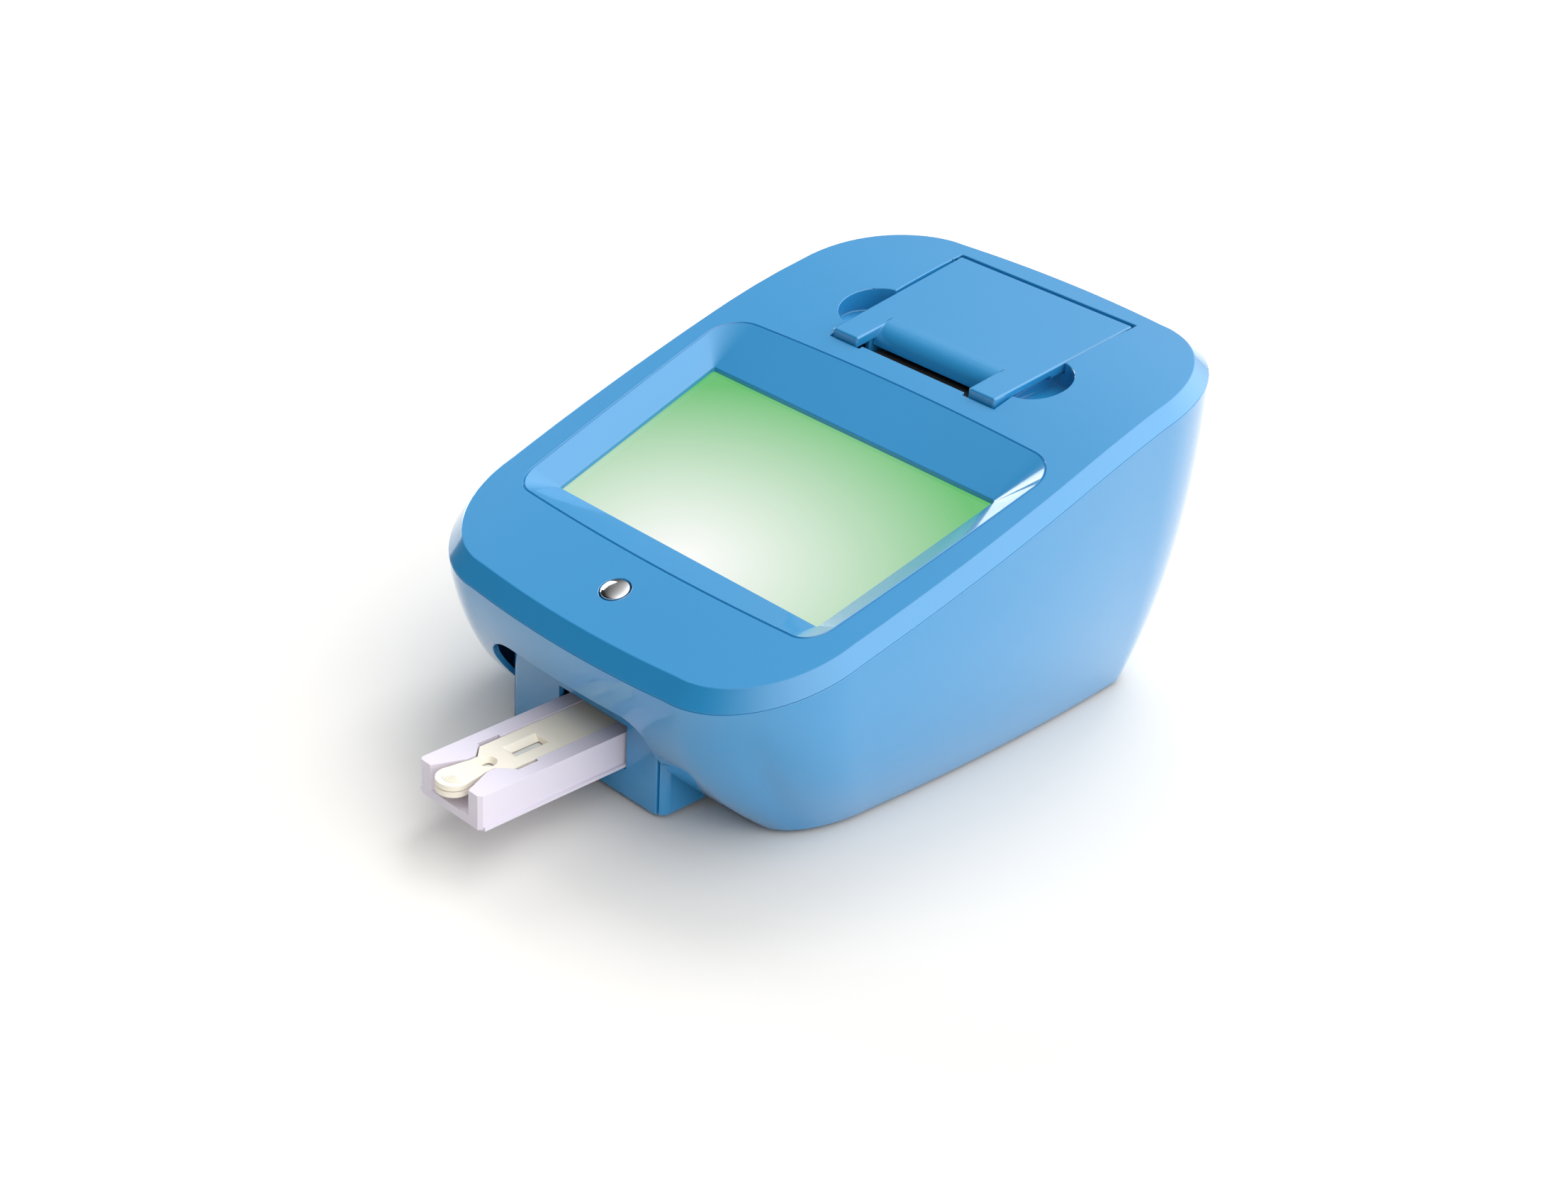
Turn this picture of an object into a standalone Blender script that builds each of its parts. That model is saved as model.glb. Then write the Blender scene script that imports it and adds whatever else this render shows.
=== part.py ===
# Bench-top fluorescence immunoassay analyzer with its cassette tray run out.
# Metres, +Z up. The front faces -Y and the feet stand on Z = 0.

import math

import bmesh
import bpy
from mathutils import Matrix, Vector

MM = 0.001

# Driving sizes of the body. Distances named from_front start at the front crease.
BODY_LENGTH = 272.9 * MM
TRAY_REACH = 49.9 * MM
GRIP_OVERHANG = 4.6 * MM
FOOT_STAND = 2.0 * MM
FIT = 0.3 * MM
OVERRUN = 6.0 * MM
WALL = 2.5 * MM
SEAM = 0.3 * MM

OVERALL_LENGTH = BODY_LENGTH + TRAY_REACH + GRIP_OVERHANG
BODY_FRONT_Y = OVERALL_LENGTH / 2 - BODY_LENGTH
BASE_Z = FOOT_STAND

# The sloping top: a flat front part, then a crown that levels off to the back.
FRONT_FACE_HEIGHT = 67.1 * MM
FACE_SLOPE = 0.2928
BACK_SLOPE = 0.078
CROWN_FROM_BACK = 106.0 * MM
CROWN_FROM_FRONT = BODY_LENGTH - CROWN_FROM_BACK
CROWN_LENGTH = 85.8 * MM

# The chamfer between the top face and the side wall.
RIM_FRONT = 5.1 * MM
RIM_SIDE = 4.4 * MM
RIM_BACK = 8.5 * MM
RIM_DROP = 6.5 * MM

# Half widths, corner reaches and bows of the top face and of the base.
FACE_FRONT_HALF = 92.3 * MM
FACE_BACK_HALF = 93.4 * MM
FACE_FRONT_CORNER = (39.7 * MM, 46.2 * MM)
FACE_BACK_CORNER = (41.6 * MM, 52.0 * MM)
FACE_BOWS = (2.5 * MM, 2.8 * MM, 2.9 * MM)
BASE_FROM_FRONT = 39.7 * MM
BASE_BACK_TUCK = 36.3 * MM
BASE_LENGTH = BODY_LENGTH - BASE_FROM_FRONT - BASE_BACK_TUCK
BASE_FRONT_HALF = 82.6 * MM
BASE_BACK_HALF = 81.9 * MM
BASE_FRONT_CORNER = (18.5 * MM, 38.4 * MM)
BASE_BACK_CORNER = (22.9 * MM, 16.8 * MM)
BASE_BOWS = (1.0 * MM, 1.4 * MM, 2.4 * MM)

# How late the side wall tucks in towards the base, by the way that it faces.
TUCK_ANGLES = (-90, -45, 0, 45, 90)
TUCK_POWERS = (2.12, 1.38, 2.76, 2.38, 2.0)

# Points on half of an outline and rings down the side wall.
EDGE_STEPS = 4
CORNER_STEPS = 7
SIDE_STEPS = 6
WALL_RINGS = 9
INNER_RINGS = 6
CYLINDER_SIDES = 32


def along(from_front):
    """World Y of a distance behind the front crease."""
    return BODY_FRONT_Y + from_front


# Scene, collections and materials


def clear_scene():
    for obj in list(bpy.data.objects):
        bpy.data.objects.remove(obj, do_unlink=True)


def new_collection(name, hidden=False):
    collection = bpy.data.collections.new(name)
    collection.hide_render = hidden
    bpy.context.scene.collection.children.link(collection)
    return collection


def plastic(name, colour, roughness=0.35, metallic=0.0, alpha=1.0):
    material = bpy.data.materials.new(name)
    material.use_nodes = True
    shader = material.node_tree.nodes["Principled BSDF"]
    shader.inputs["Base Color"].default_value = (*colour, 1.0)
    shader.inputs["Roughness"].default_value = roughness
    shader.inputs["Metallic"].default_value = metallic
    shader.inputs["Alpha"].default_value = alpha
    return material


clear_scene()
PARTS = new_collection("fluorescence_immunoassay_analyzer")
CUTTERS = new_collection("cutters", hidden=True)

BLUE = plastic("blue_gloss_plastic", (0.10, 0.36, 0.70), 0.25)
GREY = plastic("tray_plastic", (0.74, 0.72, 0.82), 0.4)
CREAM = plastic("cassette_plastic", (0.86, 0.83, 0.74), 0.45)
PAPER = plastic("paper", (0.93, 0.93, 0.91), 0.8)
RUBBER = plastic("rubber", (0.03, 0.03, 0.035), 0.85)
BLACK = plastic("black_plastic", (0.02, 0.02, 0.025), 0.5)
STEEL = plastic("steel", (0.62, 0.63, 0.65), 0.3, 1.0)
CHROME = plastic("bright_metal", (0.82, 0.82, 0.83), 0.15, 1.0)
BOARD = plastic("circuit_board", (0.02, 0.22, 0.10), 0.5)
GLASS = plastic("glass", (0.35, 0.75, 0.38), 0.08)
NYLON = plastic("nylon", (0.88, 0.88, 0.84), 0.5)


# Helpers that make and join solids


def link(name, mesh, material=None):
    obj = bpy.data.objects.new(name, mesh)
    PARTS.objects.link(obj)
    if material:
        mesh.materials.append(material)
    return obj


def as_cutter(obj):
    PARTS.objects.unlink(obj)
    CUTTERS.objects.link(obj)
    obj.hide_render = True
    obj.display_type = "WIRE"
    return obj


def from_bmesh(name, bm, material=None):
    bmesh.ops.recalc_face_normals(bm, faces=bm.faces)
    mesh = bpy.data.meshes.new(name)
    bm.to_mesh(mesh)
    bm.free()
    return link(name, mesh, material)


def combine(target, tool, operation):
    modifier = target.modifiers.new(operation.lower(), "BOOLEAN")
    modifier.operation = operation
    modifier.solver = "EXACT"
    modifier.object = as_cutter(tool)
    return target


def cut(target, *tools):
    for tool in tools:
        combine(target, tool, "DIFFERENCE")
    return target


def join(target, *tools):
    for tool in tools:
        combine(target, tool, "UNION")
    return target


def round_edges(obj, width, segments=2, angle=40):
    bevel = obj.modifiers.new("edges", "BEVEL")
    bevel.width = width
    bevel.segments = segments
    bevel.limit_method = "ANGLE"
    bevel.angle_limit = math.radians(angle)
    return obj


def smooth(obj, angle=35):
    obj.data.shade_smooth()
    obj.data.set_sharp_from_angle(angle=math.radians(angle))
    return obj


def pivot(obj, place):
    """Puts the object's origin on its joint axis and leaves its shape where it is."""
    obj.data.transform(Matrix.Translation(-Vector(place)))
    obj.location = place
    return obj


def block(name, x, y, z, material=None):
    """A box between the limits x, y and z, each a (low, high) pair."""
    bm = bmesh.new()
    bmesh.ops.create_cube(bm, size=1.0)
    size = Vector((x[1] - x[0], y[1] - y[0], z[1] - z[0]))
    centre = Vector((x[0] + x[1], y[0] + y[1], z[0] + z[1])) / 2
    bmesh.ops.transform(bm, matrix=Matrix.Translation(centre) @ Matrix.Diagonal((*size, 1.0)), verts=bm.verts)
    return from_bmesh(name, bm, material)


def rod(name, start, end, radius, material=None, end_radius=None, sides=CYLINDER_SIDES):
    """A cylinder or cone from start to end."""
    start, end = Vector(start), Vector(end)
    bm = bmesh.new()
    bmesh.ops.create_cone(
        bm,
        cap_ends=True,
        segments=sides,
        radius1=radius,
        radius2=radius if end_radius is None else end_radius,
        depth=(end - start).length,
    )
    turn = (end - start).to_track_quat("Z", "Y").to_matrix().to_4x4()
    bmesh.ops.transform(bm, matrix=Matrix.Translation((start + end) / 2) @ turn, verts=bm.verts)
    return smooth(from_bmesh(name, bm, material))


def prism(name, outline, low, high, material=None):
    """A flat outline in XY drawn up from the height low(y) to the height high(y)."""
    bm = bmesh.new()
    face = bm.faces.new([bm.verts.new((x, y, low(y))) for x, y in outline])
    drawn = bmesh.ops.extrude_face_region(bm, geom=[face])["geom"]
    for vert in drawn:
        if isinstance(vert, bmesh.types.BMVert):
            vert.co.z = high(vert.co.y)
    return from_bmesh(name, bm, material)


def side_prism(name, outline, x, material=None):
    """A flat outline in YZ drawn across between the limits x."""
    bm = bmesh.new()
    face = bm.faces.new([bm.verts.new((x[0], y, z)) for y, z in outline])
    drawn = bmesh.ops.extrude_face_region(bm, geom=[face])["geom"]
    for vert in drawn:
        if isinstance(vert, bmesh.types.BMVert):
            vert.co.x = x[1]
    return from_bmesh(name, bm, material)


def front_prism(name, outline, y, material=None):
    """A flat outline in XZ drawn back between the limits y."""
    bm = bmesh.new()
    face = bm.faces.new([bm.verts.new((px, y[0], pz)) for px, pz in outline])
    drawn = bmesh.ops.extrude_face_region(bm, geom=[face])["geom"]
    for vert in drawn:
        if isinstance(vert, bmesh.types.BMVert):
            vert.co.y = y[1]
    return from_bmesh(name, bm, material)


def turned(name, profile, centre, axis, material=None, steps=CYLINDER_SIDES):
    """A profile of (radius, height) pairs, outer side top to bottom, turned about an axis."""
    bm = bmesh.new()
    verts = [bm.verts.new((radius, 0, height)) for radius, height in profile]
    for first, second in zip(verts, verts[1:]):
        bm.edges.new((first, second))
    mesh = bpy.data.meshes.new(name)
    bm.to_mesh(mesh)
    bm.free()
    obj = link(name, mesh, material)
    screw = obj.modifiers.new("turn", "SCREW")
    screw.steps = steps
    screw.render_steps = steps
    screw.use_merge_vertices = True
    screw.merge_threshold = 0.01 * MM
    screw.use_smooth_shade = True
    obj.rotation_euler = Vector(axis).to_track_quat("Z", "Y").to_euler()
    obj.location = centre
    return obj


def skin(bm, lower, upper):
    """Faces between two rows of points that close on themselves."""
    for i in range(len(lower)):
        j = (i + 1) % len(lower)
        bm.faces.new((lower[i], lower[j], upper[j], upper[i]))


def loft(name, rings, material=None):
    """A solid skinned over rings of equal point counts, with a flat face at each end."""
    bm = bmesh.new()
    rows = [[bm.verts.new(point) for point in ring] for ring in rings]
    for lower, upper in zip(rows, rows[1:]):
        skin(bm, lower, upper)
    bm.faces.new(rows[0][::-1])
    bm.faces.new(rows[-1])
    return from_bmesh(name, bm, material)


def arc(centre, radius, start, end, steps):
    """Points on an arc, angles in degrees, both ends included."""
    angles = [math.radians(start + (end - start) * i / steps) for i in range(steps + 1)]
    return [(centre[0] + radius * math.cos(a), centre[1] + radius * math.sin(a)) for a in angles]


def rounded_box(x, y, radius, steps=4):
    """A rectangle outline with four round corners."""
    left, right, low, high = x[0] + radius, x[1] - radius, y[0] + radius, y[1] - radius
    return (
        arc((right, low), radius, -90, 0, steps)
        + arc((right, high), radius, 0, 90, steps)
        + arc((left, high), radius, 90, 180, steps)
        + arc((left, low), radius, 180, 270, steps)
    )


# Outlines and heights that the shells share


def half_outline(front, back, front_half, back_half, front_corner, back_corner, bows):
    """The right half of a shell outline in plan, from the front middle to the back middle."""
    front_bow, back_bow, side_bow = bows
    straight = front_half - front_corner[0]
    points = []
    for i in range(EDGE_STEPS):
        share = i / EDGE_STEPS
        points.append((straight * share, front + front_bow * share**2))
    corner_y = front + front_bow + front_corner[1]
    for i in range(CORNER_STEPS + 1):
        angle = math.pi / 2 * i / CORNER_STEPS
        x = straight + front_corner[0] * math.sin(angle)
        points.append((x, corner_y - front_corner[1] * math.cos(angle)))
    back_y = back - back_bow - back_corner[1]
    for i in range(1, SIDE_STEPS):
        share = i / SIDE_STEPS
        width = front_half + (back_half - front_half) * share + side_bow * 4 * share * (1 - share)
        points.append((width, corner_y + (back_y - corner_y) * share))
    straight = back_half - back_corner[0]
    for i in range(CORNER_STEPS + 1):
        angle = math.pi / 2 * i / CORNER_STEPS
        x = straight + back_corner[0] * math.cos(angle)
        points.append((x, back_y + back_corner[1] * math.sin(angle)))
    for i in range(1, EDGE_STEPS + 1):
        share = 1 - i / EDGE_STEPS
        points.append((straight * share, back - back_bow * share**2))
    return points


def whole(half):
    """Both halves of an outline as one ring that starts at the front middle."""
    return half + [(-x, y) for x, y in half[-2:0:-1]]


def grown(size, by):
    """An outline's sizes with its edge moved out by (front, side, back)."""
    front, back, front_half, back_half, front_corner, back_corner, bows = size
    return (
        front - by[0],
        back + by[2],
        front_half + by[1],
        back_half + by[1],
        (front_corner[0] + by[1], front_corner[1] + by[0]),
        (back_corner[0] + by[1], back_corner[1] + by[2]),
        bows,
    )


FACE = (
    along(RIM_FRONT),
    along(BODY_LENGTH - RIM_BACK),
    FACE_FRONT_HALF,
    FACE_BACK_HALF,
    FACE_FRONT_CORNER,
    FACE_BACK_CORNER,
    FACE_BOWS,
)
CREASE = grown(FACE, (RIM_FRONT, RIM_SIDE, RIM_BACK))
BASE = (
    along(BASE_FROM_FRONT),
    along(BASE_FROM_FRONT + BASE_LENGTH),
    BASE_FRONT_HALF,
    BASE_BACK_HALF,
    BASE_FRONT_CORNER,
    BASE_BACK_CORNER,
    BASE_BOWS,
)


def inset(size, by):
    return grown(size, (-by, -by, -by))


def face_plane(y):
    """Height of the flat front part of the top, carried on to any Y."""
    return BASE_Z + FRONT_FACE_HEIGHT + FACE_SLOPE * (y - along(0))


def top_height(y):
    """Height of the crowned top face."""
    past = min(max(y - along(CROWN_FROM_FRONT), 0), CROWN_LENGTH)
    beyond = max(y - along(CROWN_FROM_FRONT + CROWN_LENGTH), 0)
    flat_end = face_plane(min(y, along(CROWN_FROM_FRONT)))
    bend = (FACE_SLOPE - BACK_SLOPE) * past**2 / (2 * CROWN_LENGTH)
    return flat_end + FACE_SLOPE * past - bend + BACK_SLOPE * beyond


def crease_height(y):
    return top_height(y) - RIM_DROP


def tuck_power(normal_x, normal_y):
    """Power of the side wall's curve for the way that the wall faces."""
    angle = math.degrees(math.atan2(normal_y, abs(normal_x)))
    for i in range(len(TUCK_ANGLES) - 1):
        if angle <= TUCK_ANGLES[i + 1]:
            share = (angle - TUCK_ANGLES[i]) / (TUCK_ANGLES[i + 1] - TUCK_ANGLES[i])
            return TUCK_POWERS[i] + (TUCK_POWERS[i + 1] - TUCK_POWERS[i]) * share
    return TUCK_POWERS[-1]


def outline_normals(ring):
    count = len(ring)
    normals = []
    for i in range(count):
        before, after = ring[i - 1], ring[(i + 1) % count]
        run = Vector((after[0] - before[0], after[1] - before[1])).normalized()
        normals.append((run.y, -run.x))
    return normals


def side_rings(inward, top_gap, count):
    """Rings of the side wall from the crease down to the base, moved inward by a wall."""
    upper = whole(half_outline(*inset(CREASE, inward)))
    lower = whole(half_outline(*inset(BASE, inward)))
    powers = [tuck_power(*normal) for normal in outline_normals(upper)]
    rings = []
    for i in range(count):
        share = i / (count - 1)
        ring = []
        for (ux, uy), (lx, ly), power in zip(upper, lower, powers):
            tuck = share**power
            top = crease_height(uy) - top_gap
            ring.append((ux + (lx - ux) * tuck, uy + (ly - uy) * tuck, top + (BASE_Z - top) * share))
        rings.append(ring)
    return rings


def ladder(bm, row):
    """Faces straight across between the matching right and left points of a ring."""
    count = len(row)
    for i in range(count // 2):
        corners = [row[i], row[i + 1], row[(count - i - 1) % count], row[(count - i) % count]]
        bm.faces.new(list(dict.fromkeys(corners)))


# Main housing: the side wall with its tray arch, bay notches and screw posts
ARCH_LEFT = -50.2 * MM
ARCH_RIGHT = 38.7 * MM
ARCH_TOP = 43.7 * MM
ARCH_LEFT_CORNER = (19.0 * MM, 17.0 * MM)
ARCH_RIGHT_CORNER = (10.5 * MM, 8.5 * MM)
NOTCH_OUT = 7.0 * MM
NOTCH_TOP = 20.0 * MM
NOTCH_LOW = 11.0 * MM
POST_END_INSETS = (26.3 * MM, 20.6 * MM)
POST_SIDE_INSETS = (10.6 * MM, 9.9 * MM)
POST_RADIUS = 4.5 * MM
POST_HEIGHT = 14.0 * MM
POST_BORE = 1.7 * MM
WEB_THICKNESS = 3.0 * MM
SCREW_SHANK = 1.4 * MM
SCREW_HEAD = 2.8 * MM
SCREW_HEAD_HEIGHT = 1.6 * MM
SCREW_LENGTH = 11.0 * MM
SCREW_SLOT_SHARE = 0.6

# Rear connector bay
BAY_HALF = 44.0 * MM
BAY_HEIGHT = (11.0 * MM, 43.0 * MM)
BAY_FLOOR_DEPTH = 1.1 * MM
BAY_WALL = 2.0 * MM


def outer_form(name, inward=0.0):
    """The closed outer form of the side wall, moved inward, to trim pieces flush with it."""
    return loft(name, side_rings(inward, 0.0, WALL_RINGS))


def near_base_corners(end_insets, side_insets):
    """Four places set in from the ends and the sides of the base, the front two first."""
    ends = (BASE[0] + end_insets[0], BASE[1] - end_insets[1])
    halves = (BASE_FRONT_HALF - side_insets[0], BASE_BACK_HALF - side_insets[1])
    return [(side * half, y) for half, y in zip(halves, ends) for side in (-1, 1)]


def post_places():
    return near_base_corners(POST_END_INSETS, POST_SIDE_INSETS)


def rear_wall(height):
    """Y of the rear wall at a height above the base."""
    rise = crease_height(CREASE[1]) - BASE_Z
    tuck = ((rise - height) / rise) ** TUCK_POWERS[-1]
    return CREASE[1] + (BASE[1] - CREASE[1]) * tuck


def panel_face():
    """Y of the connector panel, just inside the wall at the foot of the bay."""
    return rear_wall(BAY_HEIGHT[0]) - BAY_FLOOR_DEPTH


def make_main_housing():
    bm = bmesh.new()
    outer = side_rings(0.0, SEAM, WALL_RINGS)
    inner = side_rings(WALL, SEAM, INNER_RINGS)
    rows = [[bm.verts.new(point) for point in ring] for ring in outer + inner[::-1]]
    for lower, upper in zip(rows, rows[1:] + rows[:1]):
        skin(bm, lower, upper)
    housing = smooth(from_bmesh("main_housing", bm, BLUE), 40)
    for i, (x, y) in enumerate(post_places()):
        low = BASE_Z + WALL + FIT
        side = math.copysign(1, x)
        post = rod(f"post_{i}", (x, y, low), (x, y, low + POST_HEIGHT), POST_RADIUS, sides=20)
        web_x = sorted((x + side * POST_RADIUS / 2, 2 * x))
        web_y = (y - WEB_THICKNESS / 2, y + WEB_THICKNESS / 2)
        web = block(f"post_web_{i}", web_x, web_y, (low, low + POST_HEIGHT))
        combine(web, outer_form(f"web_trim_{i}", WALL / 2), "INTERSECT")
        bore = rod(f"post_bore_{i}", (x, y, low - OVERRUN), (x, y, low + SCREW_LENGTH), POST_BORE, sides=12)
        join(housing, web, post)
        cut(housing, bore)
    cut(housing, arch_cutter(), *notch_cutters(), bay_cutter())
    return housing


def oval_arc(centre, reach, start, end, steps):
    """Points on a quarter of an oval, angles in degrees."""
    unit = arc((0.0, 0.0), 1.0, start, end, steps)
    return [(centre[0] + reach[0] * px, centre[1] + reach[1] * py) for px, py in unit]


def arch_cutter():
    """The front opening in XZ, with a wide round corner on the left and a small one on the right."""
    low, top = BASE_Z - OVERRUN, BASE_Z + ARCH_TOP
    (right_x, right_z), (left_x, left_z) = ARCH_RIGHT_CORNER, ARCH_LEFT_CORNER
    outline = [(ARCH_RIGHT, low)]
    outline += oval_arc((ARCH_RIGHT - right_x, top - right_z), ARCH_RIGHT_CORNER, 0, 90, 6)
    outline += oval_arc((ARCH_LEFT + left_x, top - left_z), ARCH_LEFT_CORNER, 90, 180, 8)
    outline.append((ARCH_LEFT, low))
    back = along(BEZEL_FROM_FRONT + BEZEL_DEPTH + OVERRUN)
    return front_prism("arch_cutter", outline, (along(-OVERRUN), back))


def notch_cutters():
    """Small reliefs in the foot of the wall on both sides of the tray bay."""
    cutters = []
    for side, edge in ((-1, ARCH_LEFT), (1, ARCH_RIGHT)):
        inside, outside = edge - side * WALL, edge + side * NOTCH_OUT
        outline = [
            (inside, BASE_Z - WALL),
            (edge + side * WALL, BASE_Z - WALL),
            (outside, BASE_Z + NOTCH_LOW),
            (inside, BASE_Z + NOTCH_TOP),
        ]
        reach = (along(OVERRUN), along(BASE_FROM_FRONT + OVERRUN))
        cutters.append(front_prism("notch_cutter", outline, reach))
    return cutters


def bay_cutter():
    x = BAY_HALF + FIT
    low, high = (BASE_Z + height for height in BAY_HEIGHT)
    back = along(BODY_LENGTH + OVERRUN)
    front = panel_face() - WALL - OVERRUN
    return block("bay_cutter", (-x, x), (front, back), (low - FIT, high + FIT))


# Tray bay bezel: the flat front box that the tray runs through
BEZEL_FROM_FRONT = 16.3 * MM
BEZEL_DEPTH = BASE_FROM_FRONT + WALL - BEZEL_FROM_FRONT
BEZEL_LEFT = -47.2 * MM
BEZEL_RIGHT = 38.0 * MM
BEZEL_HEIGHT = 42.0 * MM
BEZEL_CORNER = 4.5 * MM
BEZEL_WALL = 2.2 * MM
SLIT_X = 35.6 * MM
SLIT_WIDTH = 0.9 * MM
SLIT_DEPTH = 0.8 * MM

# Cassette tray and the opening it runs through
TRAY_HALF = 17.0 * MM
LEDGE_REACH = 1.2 * MM
LEDGE_THICKNESS = 1.2 * MM
TRAY_LOW = 12.0 * MM
TRAY_THICKNESS = 14.0 * MM
TRAY_LENGTH = 120.0 * MM
TRAY_TRAVEL = 64.0 * MM
TRAY_OPENING_HEADROOM = 3.6 * MM


def front_rounded(x, front, back, radius):
    """An outline between the limits x with two round front corners and a square back."""
    right = arc((x[1] - radius, front + radius), radius, -90, 0, 5)
    left = arc((x[0] + radius, front + radius), radius, 180, 270, 5)
    return right + [(x[1], back), (x[0], back)] + left


def make_tray_bay_bezel():
    front, back = along(BEZEL_FROM_FRONT), along(BEZEL_FROM_FRONT + BEZEL_DEPTH)
    top = BASE_Z + BEZEL_HEIGHT
    outline = front_rounded((BEZEL_LEFT, BEZEL_RIGHT), front, back, BEZEL_CORNER)
    bezel = prism("tray_bay_bezel", outline, lambda y: BASE_Z, lambda y: top, BLUE)
    inside = (BEZEL_LEFT + BEZEL_WALL, BEZEL_RIGHT - BEZEL_WALL)
    hollow = front_rounded(inside, front + BEZEL_WALL, back + OVERRUN, BEZEL_CORNER - BEZEL_WALL)
    cut(bezel, prism("bezel_hollow", hollow, lambda y: BASE_Z - OVERRUN, lambda y: top - BEZEL_WALL))
    x = TRAY_HALF + LEDGE_REACH + 2 * FIT
    low = BASE_Z + TRAY_LOW - 2 * FIT
    high = BASE_Z + TRAY_LOW + TRAY_THICKNESS + TRAY_OPENING_HEADROOM
    cut(bezel, block("tray_opening", (-x, x), (front - OVERRUN, front + OVERRUN), (low, high)))
    edges = (SLIT_X - SLIT_WIDTH / 2, SLIT_X + SLIT_WIDTH / 2)
    slit_z = (BASE_Z - OVERRUN, top - BEZEL_WALL)
    cut(bezel, block("bezel_slit", edges, (front - OVERRUN, front + SLIT_DEPTH), slit_z))
    return smooth(bezel)


# Base plate, its tongue under the bay, the feet and the screws
FOOT_RADIUS = 7.5 * MM
FOOT_END_INSETS = (16.3 * MM, 14.6 * MM)
FOOT_SIDE_INSETS = (24.6 * MM, 23.9 * MM)
FOOT_STEM = 2.6 * MM
FOOT_STEM_HEIGHT = 3.6 * MM
FOOT_TIP_SHARE = 0.8
FOOT_TOP_SHARE = 0.94
FOOT_WAIST_SHARE = 0.7
FOOT_BASE_SHARE = 0.96
STANDOFF_RADIUS = 3.0 * MM
STANDOFF_HEIGHT = 4.5 * MM
VENT_COUNT = 8
VENT_PITCH = 6.0 * MM
VENT_WIDTH = 2.5 * MM
VENT_LENGTH = 34.0 * MM
VENT_FROM_FRONT = 118.0 * MM


def base_top():
    return BASE_Z + WALL


def foot_places():
    return near_base_corners(FOOT_END_INSETS, FOOT_SIDE_INSETS)


def make_base_plate():
    outline = whole(half_outline(*inset(BASE, WALL + FIT)))
    plate = prism("base_plate", outline, lambda y: BASE_Z, lambda y: base_top(), BLUE)
    x = (BEZEL_LEFT + BEZEL_WALL + FIT, BEZEL_RIGHT - BEZEL_WALL - FIT)
    tongue_front = along(BEZEL_FROM_FRONT) + BEZEL_WALL + FIT
    tongue_back = along(BASE_FROM_FRONT + OVERRUN + WALL)
    tongue = front_rounded(x, tongue_front, tongue_back, BEZEL_CORNER - BEZEL_WALL)
    join(plate, prism("base_tongue", tongue, lambda y: BASE_Z, lambda y: base_top()))
    for px, py in board_posts():
        low, high = BASE_Z + FIT, base_top() + STANDOFF_HEIGHT
        join(plate, rod("standoff", (px, py, low), (px, py, high), STANDOFF_RADIUS, sides=16))
    for px, py in foot_places():
        low, high = BASE_Z - WALL, base_top() + WALL
        cut(plate, rod("stem_hole", (px, py, low), (px, py, high), FOOT_STEM + FIT, sides=16))
    for px, py in post_places():
        seat = BASE_Z + SCREW_HEAD_HEIGHT + 2 * FIT
        head = rod("head_hole", (px, py, BASE_Z - WALL), (px, py, seat), SCREW_HEAD + FIT, sides=16)
        high = base_top() + WALL
        shank = rod("shank_hole", (px, py, BASE_Z - WALL), (px, py, high), SCREW_SHANK + FIT, sides=12)
        cut(plate, head, shank)
    for i in range(VENT_COUNT):
        px = (i - (VENT_COUNT - 1) / 2) * VENT_PITCH
        vent_x = (px - VENT_WIDTH / 2, px + VENT_WIDTH / 2)
        vent_y = (along(VENT_FROM_FRONT), along(VENT_FROM_FRONT) + VENT_LENGTH)
        cut(plate, block(f"vent_{i}", vent_x, vent_y, (BASE_Z - WALL, base_top() + WALL)))
    return plate


def make_feet():
    names = ("foot_front_left", "foot_front_right", "foot_rear_left", "foot_rear_right")
    height = FOOT_STAND - FIT
    profile = [
        (0.0, height + FOOT_STEM_HEIGHT),
        (FOOT_STEM * FOOT_TIP_SHARE, height + FOOT_STEM_HEIGHT),
        (FOOT_STEM, height + FOOT_STEM_HEIGHT * FOOT_TIP_SHARE),
        (FOOT_STEM, height),
        (FOOT_RADIUS * FOOT_TOP_SHARE, height),
        (FOOT_RADIUS, height * FOOT_WAIST_SHARE),
        (FOOT_RADIUS * FOOT_BASE_SHARE, 0.0),
        (0.0, 0.0),
    ]
    for name, (x, y) in zip(names, foot_places()):
        turned(name, profile, (x, y, 0.0), (0, 0, 1), RUBBER, 24)


def make_screws():
    low = BASE_Z + FIT
    for i, (x, y) in enumerate(post_places()):
        ends = (x, y, low), (x, y, low + SCREW_HEAD_HEIGHT)
        screw = rod(f"base_screw_{i + 1}", *ends, SCREW_HEAD, STEEL, sides=16)
        join(screw, rod("screw_shank", (x, y, low + FIT), (x, y, low + SCREW_LENGTH), SCREW_SHANK, sides=10))
        arm = SCREW_HEAD * SCREW_SLOT_SHARE
        slot_z = (low - WALL, low + SCREW_HEAD_HEIGHT / 2)
        for reach in ((arm, FIT), (FIT, arm)):
            slot = block("screw_slot", (x - reach[0], x + reach[0]), (y - reach[1], y + reach[1]), slot_z)
            cut(screw, slot)


# Main circuit board on its standoffs
BOARD_HALF = 60.0 * MM
BOARD_FROM_RAILS = 8.5 * MM
BOARD_BACK_INSET = 12.6 * MM
BOARD_THICKNESS = 1.6 * MM
BOARD_POST_INSET = 5.0 * MM
SHIELD_X_SHARES = (-0.35, 0.30)
SHIELD_Y_SHARES = (0.25, 0.65)
SHIELD_HEIGHT = 3.0 * MM
PLUG_X_SHARES = (0.45, 0.75)
PLUG_Y_SHARES = (0.30, 0.38)
PLUG_HEIGHT = 5.0 * MM


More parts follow.
